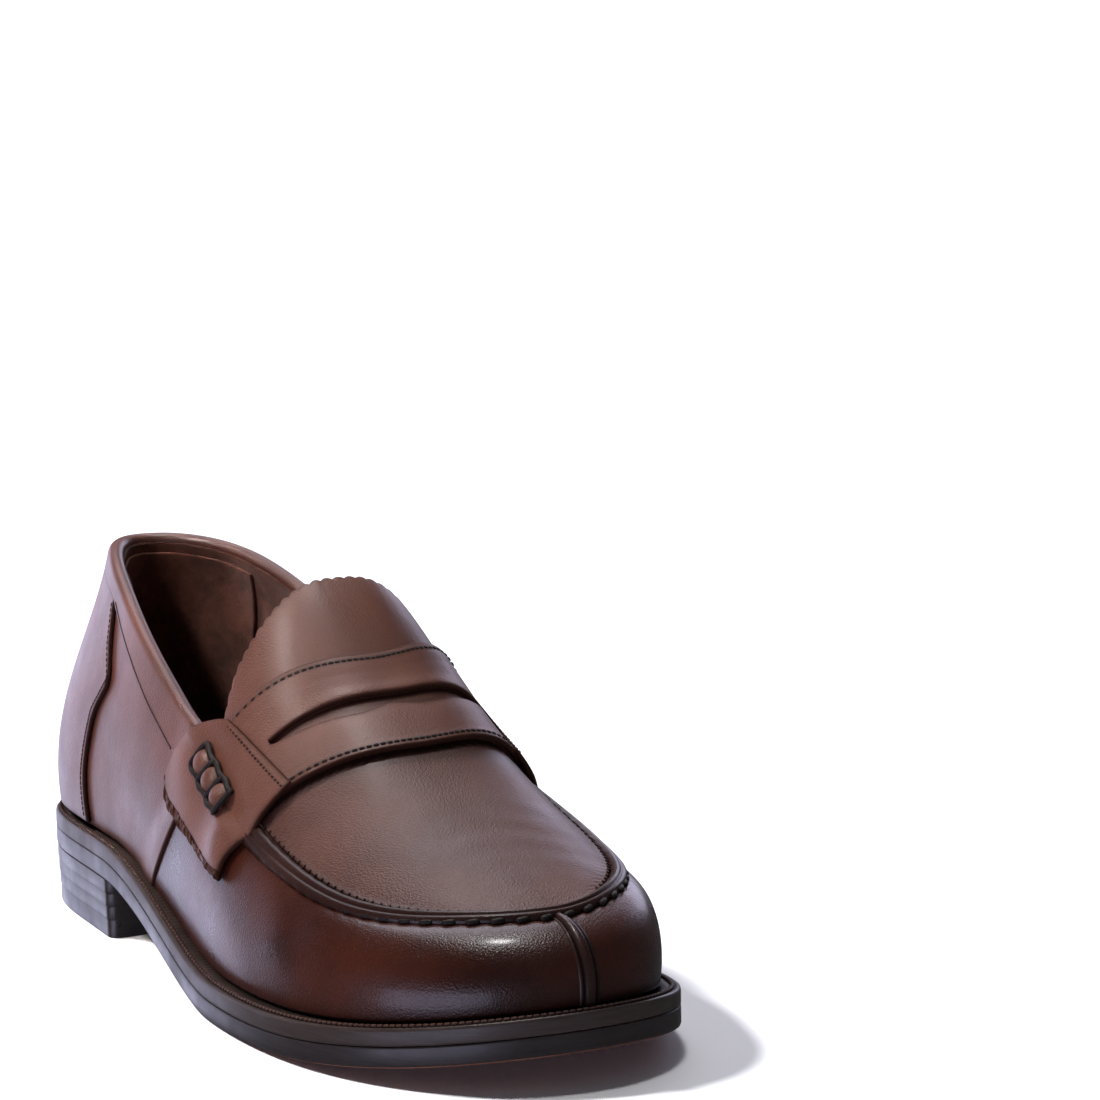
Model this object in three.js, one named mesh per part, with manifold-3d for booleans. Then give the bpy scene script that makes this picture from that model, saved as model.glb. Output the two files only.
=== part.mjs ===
// Penny loafer, right shoe: welted leather sole, stacked heel, apron front, saddle strap with beefroll ends.
// Frame in millimetres: +X towards the toe, +Y towards the inner (medial) side, +Z up, ground at z = 0.
import * as THREE from 'three';
import Module from 'manifold-3d';

const wasm = await Module();
wasm.setup();

// ---- Driving dimensions ----
const GAP = 0.3; // between pieces that touch on the real shoe
const BED_GAP = 0.5; // between the curved layers of the bottom
const HEEL_LIFT = 17.5; // height of the heel block under the outsole
const TOE_SPRING = 9.6; // rise of the outsole's underside at the toe
const HEEL_SEAT_END = -75; // the underside is level behind this x
const BALL_START = 37; // the underside touches the ground from here
const BALL_END = 45; // and curves up in front of here
const TOE_X = 150;
const OUTSOLE = 5.7; // thicknesses and levels above the outsole's underside
const WELT_BOTTOM = OUTSOLE + BED_GAP;
const WELT_TOP = 10.6;
const FEATHER = WELT_TOP + BED_GAP; // level where the upper stands on the welt
const INSOLE_TOP = 13.5;
const SOCK_BOTTOM = INSOLE_TOP + BED_GAP;
const SOCK_TOP = 15.4;
const UPPER = 2; // leather thickness of the upper
const LAYER_GAP = 0.6; // between the curved layers inside the upper
const LINING = 1.2;
const STIFFENER = 1.4;
const OVERLAY = 1.4; // thickness of pieces sewn on top of the upper
const STRAP = 1.8;
const UNDERLAY = 1;
const HEEL_BREAST_X = -68; // front face of the heel block
const TOP_PIECE = 5.5; // thickness of the rubber top piece
const LIFT_COUNT = 3;
const NAIL_RADIUS = 0.9;
const NAIL_HOLE_RADIUS = 1.3;
const RING_STEPS = 60; // facets round the sole
const TOE = 12; // station numbers: 0 is the back of the heel and 12 the toe tip
const LOOP = 2 * TOE; // 0 to 12 runs along the outer side, 12 to 24 back along the inner side
const THROAT = 6; // station where the top edge meets the saddle strap

// Shape of the shoe at 13 stations from heel to toe, as control points of a smooth spline. The columns are
// sole edge x, outer y, inner y; top edge x, outer y, inner y, z; wall bulge low and high; the heights of
// the two bulges as shares of the wall.
const STATIONS = [
  [-151, 5, 5, -134.5, 7, 7, 109, 5, 4, 0.4, 0.33],
  [-147, -15, 26, -128, -3.5, 21.5, 109, 5, 5, 0.4, 0.33],
  [-126, -28, 38, -108, -12.5, 31.5, 106.5, 4.5, 6, 0.4, 0.33],
  [-95, -32, 41, -86, -19, 35.5, 100.5, 4, 5, 0.4, 0.33],
  [-60, -36.5, 36, -62, -25, 38.5, 91.5, 3.5, 4.5, 0.4, 0.3],
  [-25, -42, 35, -37, -28.5, 41.5, 81, 3, 4, 0.4, 0.25],
  [5, -47.5, 39.5, -11, -31.5, 44, 70, 3, 4, 0.45, 0.2],
  [33, -53, 48.5, 22, -37.5, 48, 58, 3, 5, 0.5, 0.15],
  [62, -55.5, 55.5, 55, -40.5, 50, 45, 2.5, 6, 0.5, 0.12],
  [91, -55, 55, 86, -38, 46, 40, 2.5, 8, 0.55, 0.08],
  [118, -47.5, 47.5, 109, -27, 35.5, 40, 2.5, 10, 0.6, 0.03],
  [142, -30, 34, 123, -11.5, 21, 40, 2.5, 11, 0.6, 0],
  [154, 4.5, 4.5, 127.5, 4.5, 4.5, 40, 2.5, 11.5, 0.6, 0],
];

// Crest of the roof over the foot, and how far it falls 40 mm to either side, every 25 mm from x = -50.
const ROOF_START = -50;
const ROOF_STEP = 25;
const CREST = [130, 128, 115, 87, 70, 58, 49.5, 41, 29, 12];
const FALL = [66, 62, 50, 27.5, 17, 13, 12.5, 13, 12, 12];
const CREST_Y = 6;
const FALL_WIDTH = 40;
const FALL_POWER = { outer: 2.2, inner: 3 }; // the inner side is squarer

// Width of the welt outside the upper, from heel to toe.
const WELT_WIDTH = [3.4, 3.4, 3.4, 3.5, 3.7, 4, 4.8, 5.4, 5.6, 5.6, 5.6, 5.6, 5.6];

// Lines across the instep, by their x at the crest and at the sides, and the y of the saddle's two ends at
// its rear and front lines.
const STRAP_REAR = { crest: 20.5, side: 2 };
const STRAP_FRONT = { crest: 49.5, side: 34 };
const TONGUE_EDGE = { crest: -1.5, side: -6 };
const SADDLE_OUTER_Y = [-32, -38.5];
const SADDLE_INNER_Y = [44.5, 50];

// Lines on the side walls as [station, height] pairs.
const BACKSTAY_EDGE = [[3.04, 0.05], [3, 0.2], [3.06, 0.48], [3.34, 0.65], [3.02, 0.77], [2.75, 0.9]];
const COLLAR_LOW = [[0, 0.93], [2.7, 0.93], [3.9, 0.84], [4.75, 0.77], [5.65, 0.72]];
const FLAP_LOW = [[5.42, 0.54], [5.55, 0.47], [6, 0.45], [6.5, 0.465], [7.06, 0.5], [7.4, 0.8]];
const FLAP_HIGH = [[5.42, 0.56], [5.64, 0.72], [5.86, 0.87], [6, 0.905], [7.4, 0.905]];
const SIDE_SEAM = { foot: 4.72, slope: 2.1, top: 0.75 }; // vamp-to-quarter seam: station at the welt, lean

// ---- Curves ----
const clamp = (value, low, high) => Math.min(Math.max(value, low), high);
const mix = (a, b, t) => a + (b - a) * t;

function smooth(low, high, value) {
  const t = clamp((value - low) / (high - low), 0, 1);
  return t * t * (3 - 2 * t);
}

// Uniform cubic B-spline through a getter of control values, at a fractional index.
function bspline(control, index) {
  const cell = Math.floor(index);
  const t = index - cell;
  const weights = [(1 - t) ** 3, 3 * t ** 3 - 6 * t ** 2 + 4, -3 * t ** 3 + 3 * t ** 2 + 3 * t + 1, t ** 3];
  return weights.reduce((sum, weight, k) => sum + (weight / 6) * control(cell - 1 + k), 0);
}

// One column of the station table round the closed loop; the inner side reads its own y column.
function column(outer, inner, station) {
  return bspline((k) => {
    const wrapped = ((k % LOOP) + LOOP) % LOOP;
    return wrapped <= TOE ? STATIONS[wrapped][outer] : STATIONS[LOOP - wrapped][inner];
  }, station);
}

function profile(values, x) {
  return bspline((k) => values[clamp(k, 0, values.length - 1)], (x - ROOF_START) / ROOF_STEP);
}

function roofHeight(x, y) {
  const power = y > CREST_Y ? FALL_POWER.inner : FALL_POWER.outer;
  return profile(CREST, x) - profile(FALL, x) * (Math.abs(y - CREST_Y) / FALL_WIDTH) ** power;
}

function undersideHeight(x) {
  const heel = HEEL_LIFT * (1 - smooth(HEEL_SEAT_END, BALL_START, x));
  const toe = TOE_SPRING * (Math.max(x - BALL_END, 0) / (TOE_X - BALL_END)) ** 2;
  return heel + toe;
}

const soleEdge = (station) => new THREE.Vector2(column(0, 0, station), column(1, 2, station));
const topEdge = (station) => new THREE.Vector2(column(3, 3, station), column(4, 5, station));

// Outward normal, in plan, of a closed plan curve that runs anticlockwise seen from below.
function planNormal(curve, station) {
  const step = 0.01;
  const along = curve(station + step).sub(curve(station - step)).normalize();
  return new THREE.Vector2(along.y, -along.x);
}

function insetEdge(curve, station, inset) {
  return curve(station).addScaledVector(planNormal(curve, station), -inset);
}

const stationFromHeel = (station) => (station <= TOE ? station : LOOP - station);

function weltWidth(station) {
  const index = stationFromHeel(((station % LOOP) + LOOP) % LOOP);
  return bspline((k) => WELT_WIDTH[clamp(Math.abs(k), 0, TOE)], index);
}

function topHeight(station) {
  const edge = topEdge(station);
  const onRoof = smooth(THROAT - 0.5, THROAT + 0.2, stationFromHeel(((station % LOOP) + LOOP) % LOOP));
  return mix(column(6, 6, station), roofHeight(edge.x, edge.y), onRoof);
}

// ---- Surfaces: each takes two parameters and a depth, positive outwards ----

// Side wall: station round the shoe, and height from 0 on the welt to 1 at the top edge.
function wallPoint(station, height) {
  const foot = insetEdge(soleEdge, station, weltWidth(station));
  const top = topEdge(station);
  const out = planNormal(soleEdge, station);
  const footZ = undersideHeight(foot.x) + FEATHER;
  const topZ = topHeight(station);
  const rise = topZ - footZ;
  const low = foot.clone().addScaledVector(out, column(7, 7, station));
  const high = top.clone().addScaledVector(out, column(8, 8, station));
  const lowZ = footZ + rise * column(9, 9, station);
  const highZ = topZ - rise * column(10, 10, station);
  const rest = 1 - height;
  const weights = [rest ** 3, 3 * rest ** 2 * height, 3 * rest * height ** 2, height ** 3];
  const blend = (values) => values.reduce((sum, value, k) => sum + value * weights[k], 0);
  return new THREE.Vector3(
    blend([foot.x, low.x, high.x, top.x]),
    blend([foot.y, low.y, high.y, top.y]),
    blend([footZ, lowZ, highZ, topZ]),
  );
}

function offsetAlongNormal(surface, a, b, depth) {
  const step = 0.01;
  const alongA = surface(a + step, b).sub(surface(a - step, b));
  const alongB = surface(a, b + step).sub(surface(a, b - step));
  const normal = alongA.cross(alongB).normalize();
  return surface(a, b).addScaledVector(normal, depth);
}

const wall = (station, height, depth) => offsetAlongNormal(wallPoint, station, height, depth);

function roofNormal(x, y) {
  const step = 0.5;
  const slopeX = (roofHeight(x + step, y) - roofHeight(x - step, y)) / (2 * step);
  const slopeY = (roofHeight(x, y + step) - roofHeight(x, y - step)) / (2 * step);
  return new THREE.Vector3(-slopeX, -slopeY, 1).normalize();
}

function roof(x, y, depth) {
  return new THREE.Vector3(x, y, roofHeight(x, y)).addScaledVector(roofNormal(x, y), depth);
}

// Plan point between the two sides of a curve: station 0 to 12 and share 0 (outer side) to 1 (inner side).
function betweenSides(curve, station, share, inset) {
  const outer = insetEdge(curve, station, inset);
  const inner = insetEdge(curve, LOOP - station, inset);
  return outer.lerp(inner, share);
}

const soleLayer = (inset) => (station, share, level) => {
  const clear = typeof inset === 'function' ? inset(station) : inset;
  const plan = betweenSides(soleEdge, station, share, clear);
  return new THREE.Vector3(plan.x, plan.y, undersideHeight(plan.x) + level);
};

const apronLayer = (inset) => (station, share, depth) => {
  const plan = betweenSides(topEdge, station, share, inset);
  return roof(plan.x, plan.y, depth);
};

// Band across the instep between two bowed lines. share runs 0 to 1 from the outer to the inner side and
// along runs 0 to 1 from the rear line to the front line. Each line is given by its x at the crest and at
// the sides.
const instepBand = (rear, front) => (share, along, depth) => {
  const across = 2 * share - 1;
  const rearX = mix(rear.crest, rear.side, across ** 2);
  const frontX = mix(front.crest, front.side, across ** 2);
  const x = mix(rearX, frontX, along);
  const y = mix(mix(...SADDLE_OUTER_Y, along), mix(...SADDLE_INNER_Y, along), share);
  return roof(x, y, depth);
};

// ---- Builders ----

// Closed mesh from a point list and triangles, with shared corners joined and faces turned outwards.
function closedGeometry(points, triangles) {
  const seen = new Map();
  const kept = [];
  const indexOf = points.map((point) => {
    const key = point.toArray().map((value) => Math.round(value * 1e4)).join();
    if (!seen.has(key)) {
      seen.set(key, kept.length);
      kept.push(point);
    }
    return seen.get(key);
  });
  const faces = triangles.map((corners) => corners.map((corner) => indexOf[corner]));
  const whole = faces.filter(([a, b, c]) => a !== b && b !== c && c !== a);
  const volume = whole.reduce((sum, [a, b, c]) => sum + kept[a].dot(kept[b].clone().cross(kept[c])), 0);
  const outward = volume > 0 ? whole : whole.map(([a, b, c]) => [a, c, b]);
  const geometry = new THREE.BufferGeometry().setFromPoints(kept);
  geometry.setIndex(outward.flat());
  return geometry;
}

// Slab between two depths of a surface, over a patch that maps (u, v) in 0..1 to the surface's parameters.
function slab(surface, patch, depths, stepsU, stepsV) {
  const points = [];
  depths.forEach((depth) => {
    for (let i = 0; i <= stepsU; i += 1) {
      for (let j = 0; j <= stepsV; j += 1) {
        const [a, b] = patch(i / stepsU, j / stepsV);
        points.push(surface(a, b, depth));
      }
    }
  });
  const row = stepsV + 1;
  const sheet = row * (stepsU + 1);
  const triangles = [];
  const quad = (a, b, c, d) => triangles.push([a, b, c], [a, c, d]);
  for (let i = 0; i < stepsU; i += 1) {
    for (let j = 0; j < stepsV; j += 1) {
      const corner = i * row + j;
      quad(corner, corner + row, corner + row + 1, corner + 1);
      quad(sheet + corner, sheet + corner + 1, sheet + corner + row + 1, sheet + corner + row);
    }
  }
  for (let i = 0; i < stepsU; i += 1) {
    const low = i * row;
    const high = low + stepsV;
    quad(low, sheet + low, sheet + low + row, low + row);
    quad(high, high + row, sheet + high + row, sheet + high);
  }
  for (let j = 0; j < stepsV; j += 1) {
    const last = stepsU * row + j;
    quad(j, j + 1, sheet + j + 1, sheet + j);
    quad(last, sheet + last, sheet + last + 1, last + 1);
  }
  return closedGeometry(points, triangles);
}

// Bar swept along a path: pointAt(share, p, q) places the section's [p, q] corners at each step.
function sweep(pointAt, section, steps, closed) {
  const points = [];
  const rings = closed ? steps : steps + 1;
  for (let i = 0; i < rings; i += 1) {
    section.forEach(([p, q]) => points.push(pointAt(i / steps, p, q)));
  }
  const sides = section.length;
  const triangles = [];
  for (let i = 0; i < steps; i += 1) {
    for (let j = 0; j < sides; j += 1) {
      const here = i * sides;
      const next = ((i + 1) % rings) * sides;
      const k = (j + 1) % sides;
      triangles.push([here + j, next + j, next + k], [here + j, next + k, here + k]);
    }
  }
  if (!closed) {
    const last = steps * sides;
    for (let j = 1; j < sides - 1; j += 1) {
      triangles.push([0, j, j + 1], [last, last + j + 1, last + j]);
    }
  }
  return closedGeometry(points, triangles);
}

const rectangle = (p0, p1, q0, q1) => [[p0, q0], [p1, q0], [p1, q1], [p0, q1]];

function polygon(sides, radiusP, radiusQ) {
  return Array.from({ length: sides }, (_, k) => {
    const angle = (2 * Math.PI * (k + 0.5)) / sides;
    return [radiusP * Math.cos(angle), radiusQ * Math.sin(angle)];
  });
}

const patchOf = (a0, a1, b0, b1) => (u, v) => [mix(a0, a1, u), mix(b0, b1, v)];

function toManifold(geometry) {
  const vertProperties = new Float32Array(geometry.getAttribute('position').array);
  const triVerts = new Uint32Array(geometry.getIndex().array);
  return new wasm.Manifold(new wasm.Mesh({ numProp: 3, vertProperties, triVerts }));
}

function cutAway(geometry, cutter) {
  const result = toManifold(geometry).subtract(toManifold(cutter)).getMesh();
  const cut = new THREE.BufferGeometry();
  cut.setAttribute('position', new THREE.BufferAttribute(result.vertProperties, result.numProp));
  cut.setIndex(new THREE.BufferAttribute(result.triVerts, 1));
  return cut;
}

// ---- Materials ----
const LOOKS = {
  vamp: ['#4a2012', 0.35],
  quarter: ['#5b3526', 0.4],
  apron: ['#54301f', 0.42],
  lining: ['#4d2a1c', 0.95],
  edge: ['#2c201c', 0.5],
  sole: ['#8a5233', 0.7],
  thread: ['#1d1513', 0.8],
  rubber: ['#191615', 0.85],
  cork: ['#8f6a45', 0.95],
  board: ['#a5835c', 0.9],
  steel: ['#8d9094', 0.4],
};

const shoe = new THREE.Group();

function add(name, look, geometry) {
  const [color, roughness] = LOOKS[look];
  const metalness = look === 'steel' ? 1 : 0;
  const mesh = new THREE.Mesh(geometry, new THREE.MeshStandardMaterial({ color, roughness, metalness }));
  mesh.name = name;
  shoe.add(mesh);
}

const SIDES = [
  { name: 'lateral', at: (station) => station },
  { name: 'medial', at: (station) => LOOP - station },
];

// ---- Bottom ----
function buildSole() {
  add('outsole', 'sole', slab(soleLayer(0), patchOf(0, TOE, 0, 1), [0, OUTSOLE], 40, 4));

  // Ring all the way round the sole: p is measured inwards from a line in the sole's plan and q upwards.
  const soleRing = (inset) => (share, p, q) => {
    const station = share * LOOP;
    const plan = insetEdge(soleEdge, station, inset(station) + p);
    return new THREE.Vector3(plan.x, plan.y, undersideHeight(plan.x) + q);
  };
  const weltInner = 8;
  const weltSection = rectangle(0, weltInner, WELT_BOTTOM, WELT_TOP);
  add('welt', 'edge', sweep(soleRing(() => 0), weltSection, RING_STEPS, true));

  const ribThickness = 2;
  const ribSection = rectangle(0, ribThickness, WELT_BOTTOM, WELT_TOP);
  add('insole_rib', 'board', sweep(soleRing(() => weltInner + BED_GAP), ribSection, RING_STEPS, true));

  const stitchHalf = 0.45;
  const stitchBottom = WELT_TOP + GAP;
  const stitchSection = rectangle(-stitchHalf, stitchHalf, stitchBottom, stitchBottom + 2 * stitchHalf);
  const stitchLine = (station) => weltWidth(station) * 0.28;
  add('welt_stitching', 'thread', sweep(soleRing(stitchLine), stitchSection, RING_STEPS, true));

  const fillerInset = weltInner + ribThickness + 2 * BED_GAP;
  const fillerTop = WELT_TOP - BED_GAP;
  const fillerPatch = patchOf(6.2, 11.6, 0, 1);
  add('cork_filler', 'cork', slab(soleLayer(fillerInset), fillerPatch, [WELT_BOTTOM, fillerTop], 10, 2));

  const shankSpan = [-105, -12, -5, 9];
  const shankSurface = (x, y, level) => new THREE.Vector3(x, y, undersideHeight(x) + level);
  const shankLevels = [WELT_TOP - 1.6, WELT_TOP - BED_GAP];
  add('shank', 'steel', slab(shankSurface, patchOf(...shankSpan), shankLevels, 12, 1));

  const insoleInset = (station) => weltWidth(station) + 6.4;
  const footbed = (bottom, top) => slab(soleLayer(insoleInset), patchOf(0, TOE, 0, 1), [bottom, top], 24, 2);
  add('insole', 'board', footbed(FEATHER, INSOLE_TOP));
  add('sock_liner', 'lining', footbed(SOCK_BOTTOM, SOCK_TOP));
}

// ---- Heel block ----
function buildHeel() {
  const outlineSteps = 18;
  const breastStation = 3.8;
  const nails = [[-132, 5], [-118, -14], [-118, 24], [-88, -16], [-88, 26]];
  const outline = (inset) => {
    const points = [];
    for (let k = 0; k <= outlineSteps; k += 1) {
      const station = mix(-breastStation, breastStation, k / outlineSteps);
      const point = insetEdge(soleEdge, station, inset);
      points.push(new THREE.Vector2(Math.min(point.x, HEEL_BREAST_X), point.y));
    }
    return points.filter((point, k) => k === 0 || point.distanceTo(points[k - 1]) > GAP);
  };
  const layer = (bottom, top, inset) => {
    const shape = new THREE.Shape(outline(inset));
    nails.forEach(([x, y]) => {
      const hole = new THREE.Path();
      hole.absellipse(x, y, NAIL_HOLE_RADIUS, NAIL_HOLE_RADIUS, 0, 2 * Math.PI, true);
      shape.holes.push(hole);
    });
    const settings = { depth: top - bottom, bevelEnabled: false, curveSegments: 6 };
    return new THREE.ExtrudeGeometry(shape, settings).translate(0, 0, bottom);
  };
  const taper = 0.9;
  const top = HEEL_LIFT - 2 * GAP;
  const pitch = (top + GAP - TOP_PIECE) / LIFT_COUNT;
  const solidTopPiece = new THREE.ExtrudeGeometry(
    new THREE.Shape(outline(taper)),
    { depth: TOP_PIECE - GAP, bevelEnabled: false },
  );
  add('heel_top_piece', 'rubber', solidTopPiece);
  for (let k = 0; k < LIFT_COUNT; k += 1) {
    const bottom = TOP_PIECE + k * pitch;
    const inset = taper * (1 - (k + 1) / (LIFT_COUNT + 1));
    add(`heel_lift_${k + 1}`, 'edge', layer(bottom, bottom + pitch - GAP, inset));
  }
  nails.forEach(([x, y], k) => {
    const length = top - TOP_PIECE;
    const nail = new THREE.CylinderGeometry(NAIL_RADIUS, NAIL_RADIUS, length, 6);
    nail.rotateX(Math.PI / 2).translate(x, y, TOP_PIECE + length / 2);
    add(`heel_nail_${k + 1}`, 'steel', nail);
  });
}

// ---- Upper walls ----

// Value of a [key, value] list at a key, straight between its points.
function along(points, key) {
  const index = clamp(points.findIndex(([at]) => at >= key), 1, points.length - 1);
  const [low, high] = [points[index - 1], points[index]];
  return mix(low[1], high[1], clamp((key - low[0]) / (high[0] - low[0]), 0, 1));
}

const seamStation = (height) => SIDE_SEAM.foot + SIDE_SEAM.slope * Math.min(height, SIDE_SEAM.top);

function buildWalls() {
  const halfGap = 0.012;
  const skin = [0, -UPPER];
  SIDES.forEach(({ name, at }) => {
    const vampPatch = (u, v) => {
      const stationAt = (height) => mix(seamStation(height) + halfGap, TOE - halfGap, u);
      const height = v * mix(0.97, 0.86, smooth(6.95, 7.3, stationAt(1)));
      return [at(stationAt(height)), height];
    };
    add(`vamp_${name}`, 'vamp', slab(wall, vampPatch, skin, 20, 5));
    const quarterPatch = (u, v) => {
      const height = mix(0, 0.985, v);
      return [at(mix(halfGap, seamStation(height) - halfGap, u ** 1.5)), height];
    };
    add(`quarter_${name}`, 'quarter', slab(wall, quarterPatch, skin, 15, 6));
  });

  const stripHalf = 0.11;
  const stripPatch = patchOf(TOE - stripHalf, TOE + stripHalf, 0.03, 0.9);
  add('toe_seam_strip', 'vamp', slab(wall, stripPatch, [GAP, GAP + 1], 2, 8));

  const over = [LAYER_GAP, LAYER_GAP + OVERLAY];
  const backstayHeights = BACKSTAY_EDGE.map(([station, height]) => [height, station]);
  const backstayPatch = (u, v) => {
    const height = mix(0.05, 0.9, v);
    const half = along(backstayHeights, height);
    return [mix(-half, half, u), height];
  };
  add('backstay', 'quarter', slab(wall, backstayPatch, over, 20, 7));
  const collarEnd = 5.4;
  const collarPatch = (u, v) => {
    const station = mix(-collarEnd, collarEnd, u);
    return [station, mix(along(COLLAR_LOW, Math.abs(station)), 0.995, v)];
  };
  add('collar_band', 'quarter', slab(wall, collarPatch, over, 36, 2));
}

function buildStiffenersAndLinings() {
  const stiffener = [-UPPER - LAYER_GAP, -UPPER - LAYER_GAP - STIFFENER];
  const under = UPPER + STIFFENER + 2 * LAYER_GAP;
  const lining = [-under, -under - LINING];
  add('heel_counter', 'board', slab(wall, patchOf(-3.6, 3.6, 0.03, 0.66), stiffener, 24, 3));
  add('toe_puff', 'board', slab(wall, patchOf(TOE - 2.2, TOE + 2.2, 0.06, 0.8), stiffener, 14, 3));
  const vampLiningPatch = patchOf(THROAT, LOOP - THROAT, 0.12, 0.84);
  add('vamp_lining', 'lining', slab(wall, vampLiningPatch, lining, 24, 3));
  SIDES.forEach(({ name, at }) => {
    const edge = 0.02;
    const patch = (u, v) => [at(mix(edge, THROAT - edge, u ** 1.5)), mix(0.1, 0.985, v)];
    add(`quarter_lining_${name}`, 'lining', slab(wall, patch, lining, 14, 4));
  });
  const grip = [-under - LINING - LAYER_GAP, -under - 2 * LINING - LAYER_GAP];
  add('heel_grip', 'lining', slab(wall, patchOf(-2.4, 2.4, 0.35, 0.94), grip, 16, 3));
  const liningInset = 7;
  const liningDepths = [-UPPER - LAYER_GAP, -UPPER - LAYER_GAP - LINING];
  const apronLining = slab(apronLayer(liningInset), patchOf(7.2, TOE, 0, 1), liningDepths, 14, 6);
  add('apron_lining', 'lining', apronLining);
}

// ---- Apron, its ridge and the toe ----
function buildApron() {
  const apronStart = 7.15;
  add('apron', 'apron', slab(apronLayer(3.2), patchOf(apronStart, TOE, 0, 1), [0, -UPPER], 14, 8));

  // Line along the seam: p is measured towards the apron and q away from the roof.
  const seamEnd = 7.5;
  const seamLine = (inset) => (share, p, q) => {
    const station = mix(seamEnd, LOOP - seamEnd, share);
    const plan = insetEdge(topEdge, station, inset + p);
    return roof(plan.x, plan.y, q);
  };
  const ridge = [[-2, -0.4], [-1.9, 1], [-0.9, 2.1], [1, 2.1], [2, 1], [2, -0.4]];
  add('apron_ridge', 'apron', sweep(seamLine(0.6), ridge, 40, false));
  add('apron_stitching', 'thread', sweep(seamLine(5), rectangle(-0.4, 0.4, 0.5, 1.3), 40, false));
}

// ---- Saddle ----
function buildSaddle() {
  const strapBottom = GAP + UNDERLAY + GAP;
  const strap = instepBand(STRAP_REAR, STRAP_FRONT);
  const strapSolid = slab(strap, patchOf(0.05, 0.95, 0, 1), [strapBottom, strapBottom + STRAP], 22, 4);
  const slotPatch = (u, v) => {
    const bow = 1 - (2 * u - 1) ** 2;
    return [mix(0.13, 0.85, u), 0.5 + bow * mix(-0.1, 0.05, v)];
  };
  const slot = slab(strap, slotPatch, [strapBottom - UNDERLAY, strapBottom + STRAP + UNDERLAY], 12, 1);
  add('saddle_strap', 'apron', cutAway(strapSolid, slot));
  add('saddle_underlay', 'apron', slab(strap, patchOf(0.08, 0.92, 0.1, 0.96), [GAP, GAP + UNDERLAY], 16, 3));

  const flapDepths = [LAYER_GAP, LAYER_GAP + STRAP];
  SIDES.forEach(({ name, at }) => {
    const flapPatch = (u, v) => {
      const station = mix(5.42, 7.4, u);
      return [at(station), mix(along(FLAP_LOW, station), along(FLAP_HIGH, station), v)];
    };
    add(`saddle_flap_${name}`, 'apron', slab(wall, flapPatch, flapDepths, 12, 4));

    const rollPoint = (share, p, q) => {
      const station = at(mix(6.3, 7.1, share));
      const edge = topEdge(station);
      const out = planNormal(topEdge, station);
      const swell = 0.75 + 0.25 * Math.abs(Math.sin(3 * Math.PI * share));
      const up = new THREE.Vector3(out.x, out.y, 1).normalize();
      const across = new THREE.Vector3(out.x, out.y, -1).normalize();
      const origin = new THREE.Vector3(edge.x, edge.y, topHeight(station)).addScaledVector(up, 3.2);
      return origin.addScaledVector(across, p * swell).addScaledVector(up, q * swell);
    };
    add(`beefroll_${name}`, 'apron', sweep(rollPoint, polygon(8, 3.2, 2.6), 12, false));
  });
}

// ---- Tongue ----
function buildTongue() {
  const baseX = 24.6; // under the strap, just behind the apron
  const flap = instepBand(TONGUE_EDGE, { crest: baseX, side: baseX });
  add('tongue', 'apron', slab(flap, patchOf(0.07, 0.93, 0, 1), [-0.5, -0.5 - UPPER], 14, 4));
  const under = 0.5 + UPPER + GAP;
  add('tongue_lining', 'lining', slab(flap, patchOf(0.1, 0.9, 0.06, 0.96), [-under, -under - LINING], 12, 2));
}

buildSole();
buildHeel();
buildWalls();
buildStiffenersAndLinings();
buildApron();
buildSaddle();
buildTongue();

export default shoe;
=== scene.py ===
"""Penny loafer, right shoe: visual model, materials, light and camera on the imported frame."""
import math

import bpy
import bmesh
import numpy as np
from mathutils import Matrix


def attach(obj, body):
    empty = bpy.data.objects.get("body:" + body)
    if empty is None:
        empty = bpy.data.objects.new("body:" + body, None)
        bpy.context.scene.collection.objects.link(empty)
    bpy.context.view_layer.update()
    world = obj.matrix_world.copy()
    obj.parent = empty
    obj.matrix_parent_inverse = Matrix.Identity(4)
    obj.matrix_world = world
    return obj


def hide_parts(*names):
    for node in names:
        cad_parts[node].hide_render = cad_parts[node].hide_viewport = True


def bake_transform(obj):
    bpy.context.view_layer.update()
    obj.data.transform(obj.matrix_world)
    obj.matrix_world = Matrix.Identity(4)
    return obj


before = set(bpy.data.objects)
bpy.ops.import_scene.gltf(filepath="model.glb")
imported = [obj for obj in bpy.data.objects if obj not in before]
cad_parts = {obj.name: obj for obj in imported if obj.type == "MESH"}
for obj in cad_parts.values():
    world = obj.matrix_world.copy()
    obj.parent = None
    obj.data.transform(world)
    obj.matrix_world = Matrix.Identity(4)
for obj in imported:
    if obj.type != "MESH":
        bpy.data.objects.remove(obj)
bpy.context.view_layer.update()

MM = 0.001

# ---- Driving dimensions in millimetres, the same as the CAD source ----
HEEL_LIFT = 17.5
TOE_SPRING = 9.6
HEEL_SEAT_END = -75
BALL_START = 37
BALL_END = 45
TOE_X = 150
WELT_TOP = 10.6
FEATHER = 11.1
SOCK_BOTTOM = 14
SOCK_TOP = 15.4
SOCK_GAP = 5.0
HEEL_TOP_PIECE = 5.5
HEEL_LIFTS = 3
HEEL_INSET = 0.9
HEEL_BREAST_X = -68
TOE = 12
LOOP = 2 * TOE
THROAT = 6
UPPER_THICK = 2
UPPER_MIDDLE = -1
LINING_THICK = 1.2
TRIM_THICK = 1.5
BACKSTAY_MIDDLE = 0.72
TOP_SHARE = 0.985
STITCH_PITCH = 2.0
HAND_PITCH = 6.0
# Length, width and height of one stitch in each row.
WELT_STITCH = (2.2, 1.15, 1.1)
STRAP_STITCH = (1.8, 1.15, 0.85)
FLAP_STITCH = (1.1, 0.8, 0.6)
APRON_STITCH = (1.2, 0.8, 0.5)
BACKSTAY_STITCH = (1.5, 0.5, 0.45)
COLLAR_STITCH = (1.6, 0.5, 0.45)

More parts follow.
